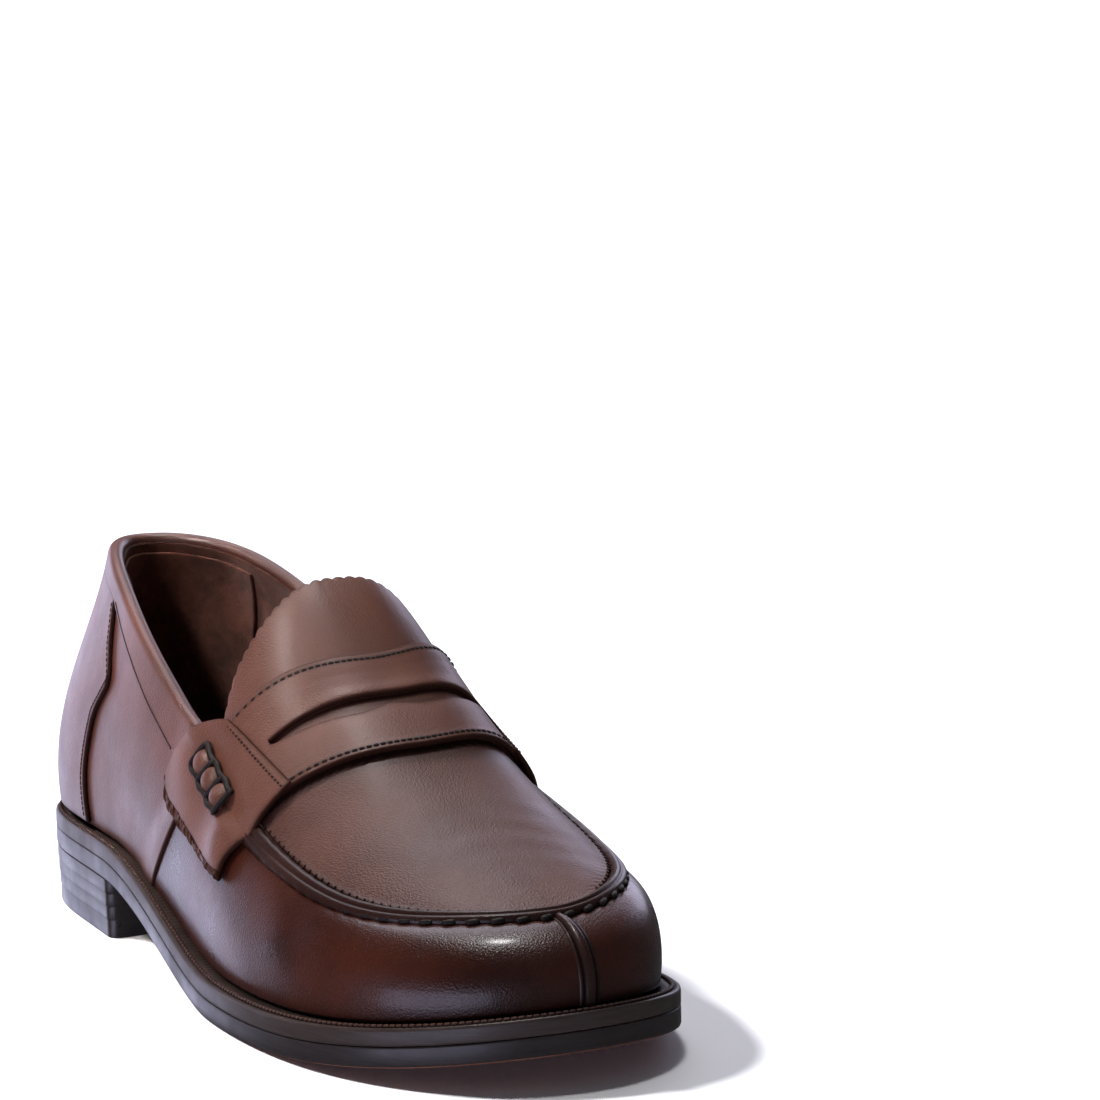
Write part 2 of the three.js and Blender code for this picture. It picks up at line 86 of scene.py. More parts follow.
# Sole edge x, outer y, inner y; top edge x, outer y, inner y, z; bulge low, high; their heights.
STATIONS = np.array([
    [-151, 5, 5, -134.5, 7, 7, 109, 5, 4, 0.4, 0.33],
    [-147, -15, 26, -128, -3.5, 21.5, 109, 5, 5, 0.4, 0.33],
    [-126, -28, 38, -108, -12.5, 31.5, 106.5, 4.5, 6, 0.4, 0.33],
    [-95, -32, 41, -86, -19, 35.5, 100.5, 4, 5, 0.4, 0.33],
    [-60, -36.5, 36, -62, -25, 38.5, 91.5, 3.5, 4.5, 0.4, 0.3],
    [-25, -42, 35, -37, -28.5, 41.5, 81, 3, 4, 0.4, 0.25],
    [5, -47.5, 39.5, -11, -31.5, 44, 70, 3, 4, 0.45, 0.2],
    [33, -53, 48.5, 22, -37.5, 48, 58, 3, 5, 0.5, 0.15],
    [62, -55.5, 55.5, 55, -40.5, 50, 45, 2.5, 6, 0.5, 0.12],
    [91, -55, 55, 86, -38, 46, 40, 2.5, 8, 0.55, 0.08],
    [118, -47.5, 47.5, 109, -27, 35.5, 40, 2.5, 10, 0.6, 0.03],
    [142, -30, 34, 123, -11.5, 21, 40, 2.5, 11, 0.6, 0],
    [154, 4.5, 4.5, 127.5, 4.5, 4.5, 40, 2.5, 11.5, 0.6, 0],
])
OUTER_ROWS = STATIONS[:, [0, 1, 3, 4, 6, 7, 8, 9, 10]]
INNER_ROWS = STATIONS[::-1][1:-1][:, [0, 2, 3, 5, 6, 7, 8, 9, 10]]
ROWS = np.vstack([OUTER_ROWS, INNER_ROWS])
WELT_WIDTH = np.array([3.4, 3.4, 3.4, 3.5, 3.7, 4, 4.8, 5.4, 5.6, 5.6, 5.6, 5.6, 5.6])

# Roof over the foot: crest height and the fall 40 mm to either side, every 25 mm from x = -50.
ROOF_START, ROOF_STEP = -50, 25
CREST = np.array([130, 128, 115, 87, 70, 58, 49.5, 41, 29, 12])
FALL = np.array([66, 62, 50, 27.5, 17, 13, 12.5, 13, 12, 12])
CREST_Y, FALL_WIDTH = 6, 40
FALL_POWER_OUTER, FALL_POWER_INNER = 2.2, 3

# Lines across the instep: x at the crest and at the sides.
STRAP_REAR = (20.5, 2)
STRAP_FRONT = (49.5, 34)
TONGUE_EDGE = (-1.5, -6)
TONGUE_BASE = (24.6, 24.6)
SADDLE_OUTER_Y = (-32, -38.5)
SADDLE_INNER_Y = (44.5, 50)
# Lines on the walls: [height, station] for the backstay, [station, height] for the collar.
BACKSTAY_EDGE = np.array([[0.03, 3.04], [0.2, 3], [0.48, 3.06], [0.65, 3.34], [0.77, 3.02], [0.93, 2.72]])
COLLAR_LOW = np.array([[0, 0.93], [2.7, 0.93], [3.9, 0.84], [4.75, 0.77], [6.2, 0.7]])
SEAM_FOOT, SEAM_SLOPE, SEAM_TOP = 4.72, 2.1, 0.75


# ---- Curves ----
UP = np.array([0, 0, 1.0])


def unit(vectors):
    return vectors / np.maximum(np.linalg.norm(vectors, axis=-1, keepdims=True), 1e-9)


def mix(a, b, t):
    return a + (b - a) * t


def smooth(low, high, value):
    t = np.clip((value - low) / (high - low), 0, 1)
    return t * t * (3 - 2 * t)


def bell(value, centre, width):
    return np.exp(-(((value - centre) / width) ** 2))


def spline_weights(t):
    """Weights of four neighbouring rows in a uniform cubic B-spline."""
    return np.stack([(1 - t) ** 3, 3 * t**3 - 6 * t**2 + 4, -3 * t**3 + 3 * t**2 + 3 * t + 1, t**3], -1) / 6


def loop_rows(station):
    """Row of the station table at any place round the shoe: 0 is the heel and 12 the toe."""
    cell = np.floor(station).astype(int)
    index = (cell[..., None] + np.arange(-1, 3)) % LOOP
    return np.einsum("...k,...kc->...c", spline_weights(station - cell), ROWS[index])


def spline_value(values, position, mirrored=False):
    """Spline through a row of values, which is held past its ends or mirrored at its start."""
    cell = np.floor(position).astype(int)
    index = cell[..., None] + np.arange(-1, 3)
    index = np.abs(index) if mirrored else index
    return (spline_weights(position - cell) * values[np.clip(index, 0, len(values) - 1)]).sum(-1)


def roof_height(x, y):
    position = (x - ROOF_START) / ROOF_STEP
    crest = spline_value(CREST, position)
    fall = spline_value(FALL, position)
    power = np.where(y > CREST_Y, FALL_POWER_INNER, FALL_POWER_OUTER)
    return crest - fall * (np.abs(y - CREST_Y) / FALL_WIDTH) ** power


def underside(x):
    """Height of the outsole's underside: level at the heel seat, down to the ball, then up to the toe."""
    heel = HEEL_LIFT * (1 - smooth(HEEL_SEAT_END, BALL_START, x))
    return heel + TOE_SPRING * (np.maximum(x - BALL_END, 0) / (TOE_X - BALL_END)) ** 2


def sole_edge(station):
    return loop_rows(np.asarray(station, float))[..., 0:2]


def top_edge(station):
    return loop_rows(np.asarray(station, float))[..., 2:4]


def plan_normal(curve, station):
    along = unit(curve(station + 0.01) - curve(station - 0.01))
    return np.stack([along[..., 1], -along[..., 0]], -1)


def inset_edge(curve, station, inset):
    return curve(station) - plan_normal(curve, station) * np.asarray(inset)[..., None]


def from_heel(station):
    """Station counted from the heel on either side."""
    wrapped = np.mod(station, LOOP)
    return np.where(wrapped <= TOE, wrapped, LOOP - wrapped)


def welt_width(station):
    return spline_value(WELT_WIDTH, from_heel(station), mirrored=True)


def top_height(station):
    rows = loop_rows(station)
    on_roof = smooth(THROAT - 0.5, THROAT + 0.2, from_heel(station))
    return mix(rows[..., 4], roof_height(rows[..., 2], rows[..., 3]), on_roof)


# ---- Surfaces: two parameters and a depth, positive outwards ----
def wall_point(station, height):
    """Point of the wall's plain surface: a curve from the feather up to the top edge at each station."""
    station, height = np.broadcast_arrays(np.asarray(station, float), np.asarray(height, float))
    rows = loop_rows(station)
    foot = inset_edge(sole_edge, station, welt_width(station))
    top = rows[..., 2:4]
    out = plan_normal(sole_edge, station)
    foot_z = underside(foot[..., 0]) + FEATHER
    top_z = top_height(station)
    rise = top_z - foot_z
    low = foot + out * rows[..., 5:6]
    high = top + out * rows[..., 6:7]
    rest = 1 - height
    weights = [rest**3, 3 * rest * rest * height, 3 * rest * height * height, height**3]
    plan = sum(w[..., None] * p for w, p in zip(weights, [foot, low, high, top]))
    levels = [foot_z, foot_z + rise * rows[..., 7], top_z - rise * rows[..., 8], top_z]
    level = sum(w * z for w, z in zip(weights, levels))
    return np.concatenate([plan, level[..., None]], -1)


def wall_normal(station, height):
    along = wall_point(station + 0.01, height) - wall_point(station - 0.01, height)
    up = wall_point(station, height + 0.01) - wall_point(station, height - 0.01)
    return unit(np.cross(along, up))


def wall(station, height, depth):
    return wall_point(station, height) + wall_normal(station, height) * np.asarray(depth)[..., None]


def roof(x, y, depth):
    """Point at a depth from the roof over the foot."""
    slope_x = roof_height(x + 0.5, y) - roof_height(x - 0.5, y)
    slope_y = roof_height(x, y + 0.5) - roof_height(x, y - 0.5)
    normal = unit(np.stack([-slope_x, -slope_y, np.ones_like(slope_x)], -1))
    return np.stack([x, y, roof_height(x, y)], -1) + normal * np.asarray(depth)[..., None]


def between_sides(curve, station, share, inset):
    """Plan point at a share of the way from the outer edge to the inner edge."""
    outer = inset_edge(curve, station, inset)
    inner = inset_edge(curve, LOOP - station, inset)
    return mix(outer, inner, share[..., None])


def sole_layer(inset):
    """Level surface inside the sole's edge; the inset is a number or a function of the station."""
    def surface(station, share, level):
        plan = between_sides(sole_edge, station, share, inset(station) if callable(inset) else inset)
        return np.concatenate([plan, (underside(plan[..., 0]) + level)[..., None]], -1)
    return surface


def apron_surface(inset):
    def surface(station, share, depth):
        plan = between_sides(top_edge, station, share, inset)
        return roof(plan[..., 0], plan[..., 1], depth)
    return surface


def instep_band(rear, front):
    def surface(share, along, depth):
        bow = (2 * share - 1) ** 2
        x = mix(mix(*rear, bow), mix(*front, bow), along)
        y = mix(mix(*SADDLE_OUTER_Y, along), mix(*SADDLE_INNER_Y, along), share)
        return roof(x, y, depth)
    return surface


def seam_station(height):
    return SEAM_FOOT + SEAM_SLOPE * np.minimum(height, SEAM_TOP)


def running_length(points):
    """Length along a path from its start to each of its points."""
    return np.concatenate([[0], np.cumsum(np.linalg.norm(np.diff(points, axis=0), axis=1))])


FINE_STATIONS = np.linspace(0, LOOP, 4801)
TOP_ARC = running_length(top_edge(FINE_STATIONS))
SOLE_ARC = running_length(sole_edge(FINE_STATIONS))


def arc_at(arc, station):
    return np.interp(np.mod(station, LOOP), FINE_STATIONS, arc)


def even_stations(arc, start, end, pitch):
    """Stations at an even spacing along an edge."""
    low, high = np.interp([start, end], FINE_STATIONS, arc)
    count = int((high - low) / pitch)
    return np.interp(low + pitch * (np.arange(count) + 0.5), arc, FINE_STATIONS)


# ---- Mesh building ----
RIM = np.array([0, 0.03, 0.12, 0.3, 0.6, 1])
RIM_SHARE = 0.48
EDGE_SHADE = 0.95
EDGE_SHADE_WIDTH = 0.8
FACING_DOWN = -0.75


def lines(count, length, thick):
    """Shares 0 to 1 with extra lines close to both ends, for a rounded rim."""
    rim = RIM * thick * RIM_SHARE / length
    return np.unique(np.concatenate([rim, np.linspace(rim[-1], 1 - rim[-1], count), 1 - rim]))


def edge_distance(points, axes=(0, 1)):
    """Distance along the grid's lines to its nearest edge."""
    nearest = np.full(points.shape[:2], np.inf)
    for axis in axes:
        steps = np.linalg.norm(np.diff(points, axis=axis), axis=2)
        run = np.concatenate([np.zeros_like(steps.take([0], axis)), np.cumsum(steps, axis)], axis)
        nearest = np.minimum(nearest, np.minimum(run, run.take([-1], axis) - run))
    return nearest


def grid_quads(rows, cols, closed=False, skip=None):
    """Quads of a rows x cols grid; closed joins the last row to the first; skip is a mask of cells."""
    i, j = np.meshgrid(np.arange(rows if closed else rows - 1), np.arange(cols - 1), indexing="ij")
    if skip is not None:
        i, j = i[~skip], j[~skip]
    i, j = i.ravel(), j.ravel()
    after = (i + 1) % rows
    return np.stack([i * cols + j, after * cols + j, after * cols + j + 1, i * cols + j + 1], 1)


class Parts:
    """Points, quads and shade values collected for one object."""

    def __init__(self):
        self.points, self.quads, self.shades, self.count = [], [], [], 0

    def add(self, points, quads=None, shade=0.0):
        """Adds points with their quads, or a whole grid of points."""
        flat = points.reshape(-1, 3)
        quads = grid_quads(*points.shape[:2]) if quads is None else quads
        self.points.append(flat)
        self.quads.append(quads + self.count)
        self.shades.append(np.broadcast_to(np.asarray(shade, float), points.shape[:-1]).ravel())
        self.count += len(flat)
        return self

    def join(self, other):
        """Adds everything that another collection holds."""
        self.points += other.points
        self.quads += [quads + self.count for quads in other.quads]
        self.shades += other.shades
        self.count += other.count
        return self

    def add_cap(self, ring, shade=0.0, steps=(0, 1)):
        """Fills a ring of points towards its centre."""
        cap = np.stack([mix(ring, ring.mean(0), step) for step in steps], 1)
        return self.add(cap, grid_quads(len(ring), len(steps), closed=True), shade)


def make_object(name, parts, material, node=None, body="shoe", below=None):
    """Piece of the visual model; node is the CAD node that it replaces, below the material facing down."""
    mesh = bpy.data.meshes.new(name)
    points = np.concatenate(parts.points) * MM
    mesh.from_pydata(points.tolist(), [], np.concatenate(parts.quads).tolist())
    layer = mesh.attributes.new("shade", "FLOAT", "POINT")
    layer.data.foreach_set("value", np.concatenate(parts.shades).astype(np.float32))
    work = bmesh.new()
    work.from_mesh(mesh)
    bmesh.ops.remove_doubles(work, verts=work.verts, dist=2e-6)
    bmesh.ops.dissolve_degenerate(work, edges=work.edges, dist=1e-7)
    bmesh.ops.recalc_face_normals(work, faces=work.faces)
    work.to_mesh(mesh)
    work.free()
    mesh.shade_smooth()
    mesh.materials.append(material)
    if below is not None:
        mesh.materials.append(below)
        for polygon in mesh.polygons:
            polygon.material_index = int(polygon.normal.z < FACING_DOWN)
    piece = bpy.data.objects.new(name, mesh)
    bpy.context.scene.collection.objects.link(piece)
    if body:
        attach(piece, body)
    if node:
        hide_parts(node)
    return piece


def rim_half(distance, thick):
    """Half the thickness, rounded off close to the rim."""
    rest = 1 - np.clip(distance / (thick * RIM_SHARE), 0, 1)
    return thick / 2 * np.sqrt(1 - rest**2)


def edge_tint(distance, shade, rim=EDGE_SHADE):
    return np.maximum(shade, np.exp(-((distance / EDGE_SHADE_WIDTH) ** 2)) * rim)


def sheet_parts(surface, a, b, depth, thick, distance=None, skip=None, shade=0.0, axes=(0, 1),
                rim=EDGE_SHADE):
    """Leather of even thickness about a depth, with a rounded, darker rim."""
    depth = np.broadcast_to(np.asarray(depth, float), a.shape)
    centre = surface(a, b, depth)
    if distance is None:
        distance = edge_distance(centre, axes)
    half = rim_half(distance, thick)
    tint = edge_tint(distance, shade, rim)
    quads = grid_quads(*a.shape, skip=skip)
    parts = Parts()
    parts.add(surface(a, b, depth + half), quads, tint)
    parts.add(surface(a, b, depth - half), quads[:, ::-1], tint)
    return parts


def sheet(name, material, node, surface, a, b, depth, thick, slot="upper_leather", body="shoe", **more):
    """Piece made of one such sheet."""
    parts = sheet_parts(surface, a, b, depth, thick, **more)
    return make_object(name, parts, material, node, body)


def free_sheet_parts(centre, thick, shade=0.0, axes=(0, 1), flip=1):
    """The same for a sheet given by the points of its middle surface."""
    normal = unit(np.cross(np.gradient(centre, axis=0), np.gradient(centre, axis=1))) * flip
    distance = edge_distance(centre, axes)
    offset = normal * rim_half(distance, thick)[..., None]
    tint = edge_tint(distance, shade)
    quads = grid_quads(*centre.shape[:2])
    return Parts().add(centre + offset, quads, tint).add(centre - offset, quads[:, ::-1], tint)


def ring_parts(point_at, section, stations, closed=True, shade=0.0):
    """Solid swept along stations; the section's [p, q] points close on themselves."""
    loop = np.array(section + section[:1], float)
    station, p = np.meshgrid(stations, loop[:, 0], indexing="ij")
    q = np.broadcast_to(loop[:, 1], station.shape)
    points = point_at(station, p, q)
    parts = Parts().add(points, grid_quads(*station.shape, closed=closed), shade)
    if not closed:
        for row in (0, -1):
            parts.add_cap(points[row, :-1], shade)
    return parts


def grid(u, v):
    return np.meshgrid(u, v, indexing="ij")


def stitch_parts(centres, directions, normals, length, width, height):
    """Short rounded stitches, one for each centre."""
    around, along = 8, 7
    angle = np.linspace(0, 2 * np.pi, around, endpoint=False)
    reach = np.linspace(-1, 1, along)
    girth = np.sqrt(np.clip(1 - reach**4, 0, 1))
    directions, normals = unit(directions), unit(normals)
    sides = unit(np.cross(directions, normals))
    normals = np.cross(sides, directions) * np.asarray(height / 2)[..., None]
    sides = sides * np.asarray(width / 2)[..., None]
    x = reach[None, :] * length / 2 * np.ones((around, 1))
    y = np.cos(angle)[:, None] * girth
    z = np.sin(angle)[:, None] * girth
    parts = Parts()
    quads = grid_quads(around, along, closed=True)
    for centre, ahead, side, up in zip(centres, directions, sides, normals):
        parts.add(centre + x[..., None] * ahead + y[..., None] * side + z[..., None] * up, quads)
    return parts


def stitch_row(name, centres, directions, normals, size, material=None, node=None):
    """Piece made of one row of stitches, each of a length, width and height."""
    parts = stitch_parts(centres, directions, normals, *size)
    make_object(name, parts, material or THREAD, node)


def cord_parts(path, radius, sides=8):
    """Round thread along a path of points."""
    ahead = unit(np.gradient(path, axis=0))
    side = unit(np.cross(ahead, np.array([0.2, 0.3, 0.93])))
    up = np.cross(side, ahead)
    angle = np.linspace(0, 2 * np.pi, sides, endpoint=False)
    taper = np.ones(len(path))
    taper[[0, -1]] = 0.02
    ring = np.cos(angle)[None, :, None] * side[:, None] + np.sin(angle)[None, :, None] * up[:, None]
    points = path[:, None] + ring * (radius * taper)[:, None, None]
    return Parts().add(points.transpose(1, 0, 2), grid_quads(sides, len(path), closed=True))


# ---- Materials ----
class Nodes:
    """Short calls for building a node material on one Principled shader."""

    def __init__(self, name):
        self.material = bpy.data.materials.new(name)
        self.material.use_nodes = True
        self.tree = self.material.node_tree
        self.shader = self.tree.nodes["Principled BSDF"]
        self.place = self.node("ShaderNodeTexCoord").outputs["Object"]

    def node(self, kind, **settings):
        made = self.tree.nodes.new(kind)
        for key, value in settings.items():
            setattr(made, key, value)
        return made

    def link(self, source, target):
        self.tree.links.new(source, target)

    def set(self, **values):
        for key, value in values.items():
            self.shader.inputs[key.replace("_", " ")].default_value = value
        return self

    def placed(self, kind, output, place=None, **values):
        """Node on the object's own coordinates, or on another place, with its inputs set."""
        made = self.node(kind)
        for key, value in values.items():
            made.inputs[key].default_value = value
        self.link(place or self.place, made.inputs["Vector"])
        return made.outputs[output]

    def stretched(self, scale):
        return self.placed("ShaderNodeMapping", "Vector", Scale=scale)

    def noise(self, scale, detail=2, roughness=0.5, place=None, distortion=0.0):
        return self.placed("ShaderNodeTexNoise", "Fac", place, Scale=scale, Detail=detail,
                           Roughness=roughness, Distortion=distortion)

    def cells(self, scale):
        return self.placed("ShaderNodeTexVoronoi", "Distance", Scale=scale)

    def ramp(self, factor, stops):
        made = self.node("ShaderNodeValToRGB")
        ramp = made.color_ramp
        while len(ramp.elements) < len(stops):
            ramp.elements.new(0.5)
        for element, (position, color) in zip(ramp.elements, stops):
            element.position = position
            element.color = (*color, 1)
        self.link(factor, made.inputs["Fac"])
        return made.outputs["Color"]

    def span(self, factor, low, high, from_low=0.0, from_high=1.0):
        made = self.node("ShaderNodeMapRange")
        ends = {"From Min": from_low, "From Max": from_high, "To Min": low, "To Max": high}
        for key, value in ends.items():
            made.inputs[key].default_value = value
        self.link(factor, made.inputs["Value"])
        return made.outputs["Result"]

    def larger(self, a, b):
        made = self.node("ShaderNodeMath", operation="MAXIMUM")
        self.link(a, made.inputs[0])
        self.link(b, made.inputs[1])
        return made.outputs["Value"]

    def blend(self, factor, a, b, kind="MIX"):
        """Mixes two colours, each a colour or the output of another node."""
        made = self.node("ShaderNodeMix", data_type="RGBA", blend_type=kind)
        for key, value in ((0, factor), (6, a), (7, b)):
            if isinstance(value, (int, float)):
                made.inputs[key].default_value = value
            elif isinstance(value, tuple):
                made.inputs[key].default_value = (*value, 1)
            else:
                self.link(value, made.inputs[key])
        return made.outputs[2]

    def attribute(self, name):
        return self.node("ShaderNodeAttribute", attribute_name=name).outputs["Fac"]

    def color(self, source):
        self.link(source, self.shader.inputs["Base Color"])

    def rough(self, source):
        self.link(source, self.shader.inputs["Roughness"])

    def bump(self, *layers):
        """Layers of (height, distance in metres, strength), each on top of the last."""
        normal = None
        for height, distance, strength in layers:
            made = self.node("ShaderNodeBump")
            made.inputs["Distance"].default_value = distance
            made.inputs["Strength"].default_value = strength
            self.link(height, made.inputs["Height"])
            if normal is not None:
                self.link(normal, made.inputs["Normal"])
            normal = made.outputs["Normal"]
        self.link(normal, self.shader.inputs["Normal"])


def leather(name, light, dark, roughness, coat, grain=0.00012, gloss=0.22):
    """Smooth polished calf: mottled colour, darker worn edges and painted shade where the shade attribute is
    set, fine pores and a soft wax shine.
    """
    made = Nodes(name)
    cloud = made.noise(28, 4, 0.55)
    body = made.ramp(cloud, [(0.34, dark), (0.66, light)])
    fleck = made.span(made.noise(900, 2, 0.6), 0.86, 1.1)
    body = made.blend(1.0, body, made.ramp(fleck, [(0.0, (0, 0, 0)), (1.0, (1, 1, 1))]), "MULTIPLY")
    # Colour that the shade attribute darkens towards: dyed, worn edges, and painted shade and shadow in
    # grooves, hollows and under parts.
    burnt_and_shaded = tuple(channel * 0.22 for channel in dark)
    edge = made.attribute("shade")
    made.color(made.blend(edge, body, burnt_and_shaded))
    haze = made.span(made.noise(60, 3, 0.6), roughness - 0.05, roughness + 0.07, 0.3, 0.7)
    made.rough(made.larger(haze, edge))
    made.link(made.span(edge, 0.42, 0.03), made.shader.inputs["Specular IOR Level"])
    made.link(made.span(edge, coat, 0.0), made.shader.inputs["Coat Weight"])
    pores = made.cells(1600)
    creases = made.noise(2600, 2, 0.6)
    swell = made.noise(160, 3, 0.5)
    made.bump((swell, 0.0002, 0.1), (pores, grain, 0.6), (creases, grain, 0.5))
    made.set(IOR=1.5, Coat_Roughness=gloss)
    return made.material


def suede(name, light, dark):
    """Napped lining: no shine, brushed patches and short fibre."""
    made = Nodes(name)
    patch = made.noise(90, 5, 0.65, distortion=0.3)
    fibre = made.noise(1800, 3, 0.7)
    body = made.ramp(patch, [(0.35, dark), (0.65, light)])
    made.color(made.blend(made.attribute("shade"), body, tuple(channel * 0.8 for channel in dark)))
    made.rough(made.span(fibre, 0.85, 1.0))
    made.bump((patch, 0.0008, 0.4), (fibre, 0.0002, 0.6))
    made.set(Sheen_Weight=0.08, Sheen_Roughness=0.5, Specular_IOR_Level=0.15)
    return made.material


def sole_edge_finish(name, light, dark, roughness):
    """Stained and waxed leather edge: fine layers along the edge and a few dull patches."""
    made = Nodes(name)
    layers = made.noise(60, 4, 0.6, place=made.stretched((1, 1, 22)))
    made.color(made.ramp(layers, [(0.3, dark), (0.7, light)]))
    patch = made.noise(70, 4, 0.6)
    made.rough(made.span(patch, roughness - 0.07, roughness + 0.12, 0.3, 0.7))
    grit = made.noise(900, 3, 0.65, place=made.stretched((1, 1, 3)))
    made.bump((layers, 0.00015, 0.2), (grit, 0.00008, 0.5))
    made.set(Coat_Weight=0.1, Coat_Roughness=0.25, Specular_IOR_Level=0.42)
    return made.material


def plain_leather(name, light, dark):
    """Undyed or lightly dyed sole and board leather."""
    made = Nodes(name)
    cloud = made.noise(45, 5, 0.6)
    made.color(made.ramp(cloud, [(0.3, dark), (0.7, light)]))
    scuff = made.noise(420, 3, 0.7, place=made.stretched((0.25, 1, 1)))
    made.rough(made.span(scuff, 0.5, 0.8, 0.3, 0.7))
    made.bump((scuff, 0.0001, 0.5), (made.cells(1300), 0.00005, 0.4))
    return made.material


def thread_material(name, light, dark):
    """Waxed thread with the twist of its strands."""
    made = Nodes(name)
    twist = made.noise(1500, 2, 0.6, place=made.stretched((1, 1, 2.5)))
    made.color(made.ramp(twist, [(0.35, dark), (0.65, light)]))
    made.rough(made.span(twist, 0.42, 0.65))
    made.bump((twist, 0.00015, 0.6))
    made.set(Specular_IOR_Level=0.25)
    return made.material


def rubber_material(name):
    made = Nodes(name)
    speckle = made.noise(700, 3, 0.6)
    made.color(made.ramp(speckle, [(0.35, (0.012, 0.01, 0.01)), (0.65, (0.022, 0.019, 0.018))]))
    made.rough(made.span(made.noise(120, 3), 0.55, 0.8, 0.3, 0.7))
    made.bump((speckle, 0.0001, 0.4))
    return made.material


def cork_material(name):
    made = Nodes(name)
    crumb = made.cells(260)
    made.color(made.ramp(crumb, [(0.1, (0.3, 0.17, 0.07)), (0.5, (0.13, 0.065, 0.03))]))
    made.rough(made.span(made.noise(500, 3), 0.8, 0.98))
    made.bump((crumb, 0.0005, 0.6))
    return made.material


def steel_material(name):
    made = Nodes(name)
    brushed = made.noise(500, 3, 0.6, place=made.stretched((0.04, 1, 1)))
    made.color(made.ramp(brushed, [(0.3, (0.32, 0.33, 0.35)), (0.7, (0.46, 0.47, 0.49))]))
    made.rough(made.span(brushed, 0.28, 0.45))
    made.bump((brushed, 0.00004, 0.4))
    made.set(Metallic=1.0)
    return made.material


CALF = leather("calf", (0.085, 0.03, 0.021), (0.052, 0.018, 0.0125), 0.4, 0.2)
CALF_SADDLE = leather("calf_saddle", (0.11, 0.041, 0.027), (0.074, 0.026, 0.016), 0.42, 0.1, 0.00016, 0.3)
CALF_APRON = leather("calf_apron", (0.085, 0.034, 0.024), (0.055, 0.021, 0.015), 0.42, 0.12, 0.0002, 0.28)
# Vamp calf: darker leather, darkened further as painted shade for the toe front, which faces away from the
# lamps.
CALF_VAMP = leather("calf_vamp", (0.042, 0.0088, 0.0038), (0.018, 0.0036, 0.0018), 0.3, 0.3, 0.00012, 0.17)
CALF_RIM = leather("calf_rim", (0.036, 0.012, 0.008), (0.018, 0.006, 0.0045), 0.34, 0.2, 0.00008, 0.2)
SUEDE = suede("lining_suede", (0.115, 0.04, 0.025), (0.05, 0.016, 0.01))
SOCK = suede("sock_leather", (0.085, 0.04, 0.026), (0.05, 0.022, 0.014))
EDGE = sole_edge_finish("sole_edge", (0.022, 0.016, 0.016), (0.012, 0.009, 0.0095), 0.34)
HEEL_EDGE = sole_edge_finish("heel_edge", (0.022, 0.018, 0.019), (0.014, 0.011, 0.012), 0.32)
WELT = sole_edge_finish("welt_leather", (0.034, 0.022, 0.019), (0.02, 0.013, 0.011), 0.42)
SOLE = plain_leather("sole_leather", (0.17, 0.06, 0.032), (0.12, 0.04, 0.021))
BOARD = plain_leather("board", (0.42, 0.26, 0.13), (0.3, 0.18, 0.085))
THREAD = thread_material("thread", (0.016, 0.01, 0.009), (0.006, 0.004, 0.0035))
THREAD_WELT = thread_material("thread_welt", (0.06, 0.028, 0.02), (0.025, 0.012, 0.009))
RUBBER = rubber_material("heel_rubber")
CORK = cork_material("cork")
STEEL = steel_material("steel")

SIDES = (("lateral", 1), ("medial", -1))
BOTH_SIDES = (("inner", -1), ("outer", 1))


def at_side(side, station):
    return station if side > 0 else LOOP - station


# ---- Bottom ----
def sole_ring(station, p, q):
    plan = inset_edge(sole_edge, station, p)
    return np.concatenate([plan, (underside(plan[..., 0]) + q)[..., None]], -1)


def closed_layer(profile, columns=14):
    """Solid sole layer: a rim profile of [inset, level] from bottom to top, with both faces filled."""
    stations = np.linspace(0, TOE, 241)
    parts = Parts()
    insets = np.array([p for p, _ in profile], float)
    levels = np.array([q for _, q in profile], float)
    for at in (stations, LOOP - stations):
        station, inset = grid(at, insets)
        parts.add(sole_ring(station, inset, levels))
    station, share = grid(stations, np.linspace(0, 1, columns))
    for inset, level in (profile[0], profile[-1]):
        parts.add(sole_layer(inset)(station, share, level))
    return parts


def build_outsole():
    """Outsole with a rounded rim, stained at its edge and plain underneath."""
    rim = [[1.4, 0], [0.7, 0.05], [0.2, 0.35], [0, 0.9], [0, 5.1], [0.08, 5.45], [0.3, 5.65], [1.4, 5.7]]
    make_object("outsole_leather", closed_layer(rim), EDGE, "outsole", below=SOLE)


def welt_ring(station, p, q):
    """Welt's section, with a shallow wave on top that follows the stitches."""
    mark = np.cos(2 * np.pi * arc_at(SOLE_ARC, station) / STITCH_PITCH)
    on_top = smooth(0.8, 1.4, p) * smooth(9.9, 10.3, q)
    return sole_ring(station, p, q + 0.1 * mark * on_top)


def build_welt():
    """Welt round the whole shoe, and the stitches on it."""
    stations = even_stations(SOLE_ARC, 0, LOOP, 0.55)
    welt = [[1.2, 5.8], [0.3, 5.82], [0.08, 6.0], [0, 6.4], [0, 9.6], [0.15, 10.2], [0.6, 10.55],
            [1.2, 10.6], [1.8, 10.45], [2.6, 10.35], [3.6, 10.5], [8, 10.6], [8, 5.9]]
    make_object("welt_strip", ring_parts(welt_ring, welt, stations), WELT, "welt")

    stations = even_stations(SOLE_ARC, 0, LOOP, STITCH_PITCH)
    lean = welt_width(stations) * 0.42
    level = WELT_TOP + 0.25
    centres = sole_ring(stations, lean, level)
    ahead = sole_ring(stations + 0.02, lean - 0.08, level) - centres
    stitch_row("welt_stitches", centres, ahead, UP, WELT_STITCH, THREAD_WELT, "welt_stitching")


def sock_inset(station):
    return welt_width(station) + SOCK_GAP


def build_sock():
    """Thin leather over the whole insole."""
    thick = SOCK_TOP - SOCK_BOTTOM
    station, share = grid(lines(200, 280, thick) * TOE, lines(40, 80, thick))
    sock = sheet_parts(sole_layer(sock_inset), station, share, (SOCK_BOTTOM + SOCK_TOP) / 2, thick)
    make_object("sock_leather", sock, SOCK, "sock_liner")


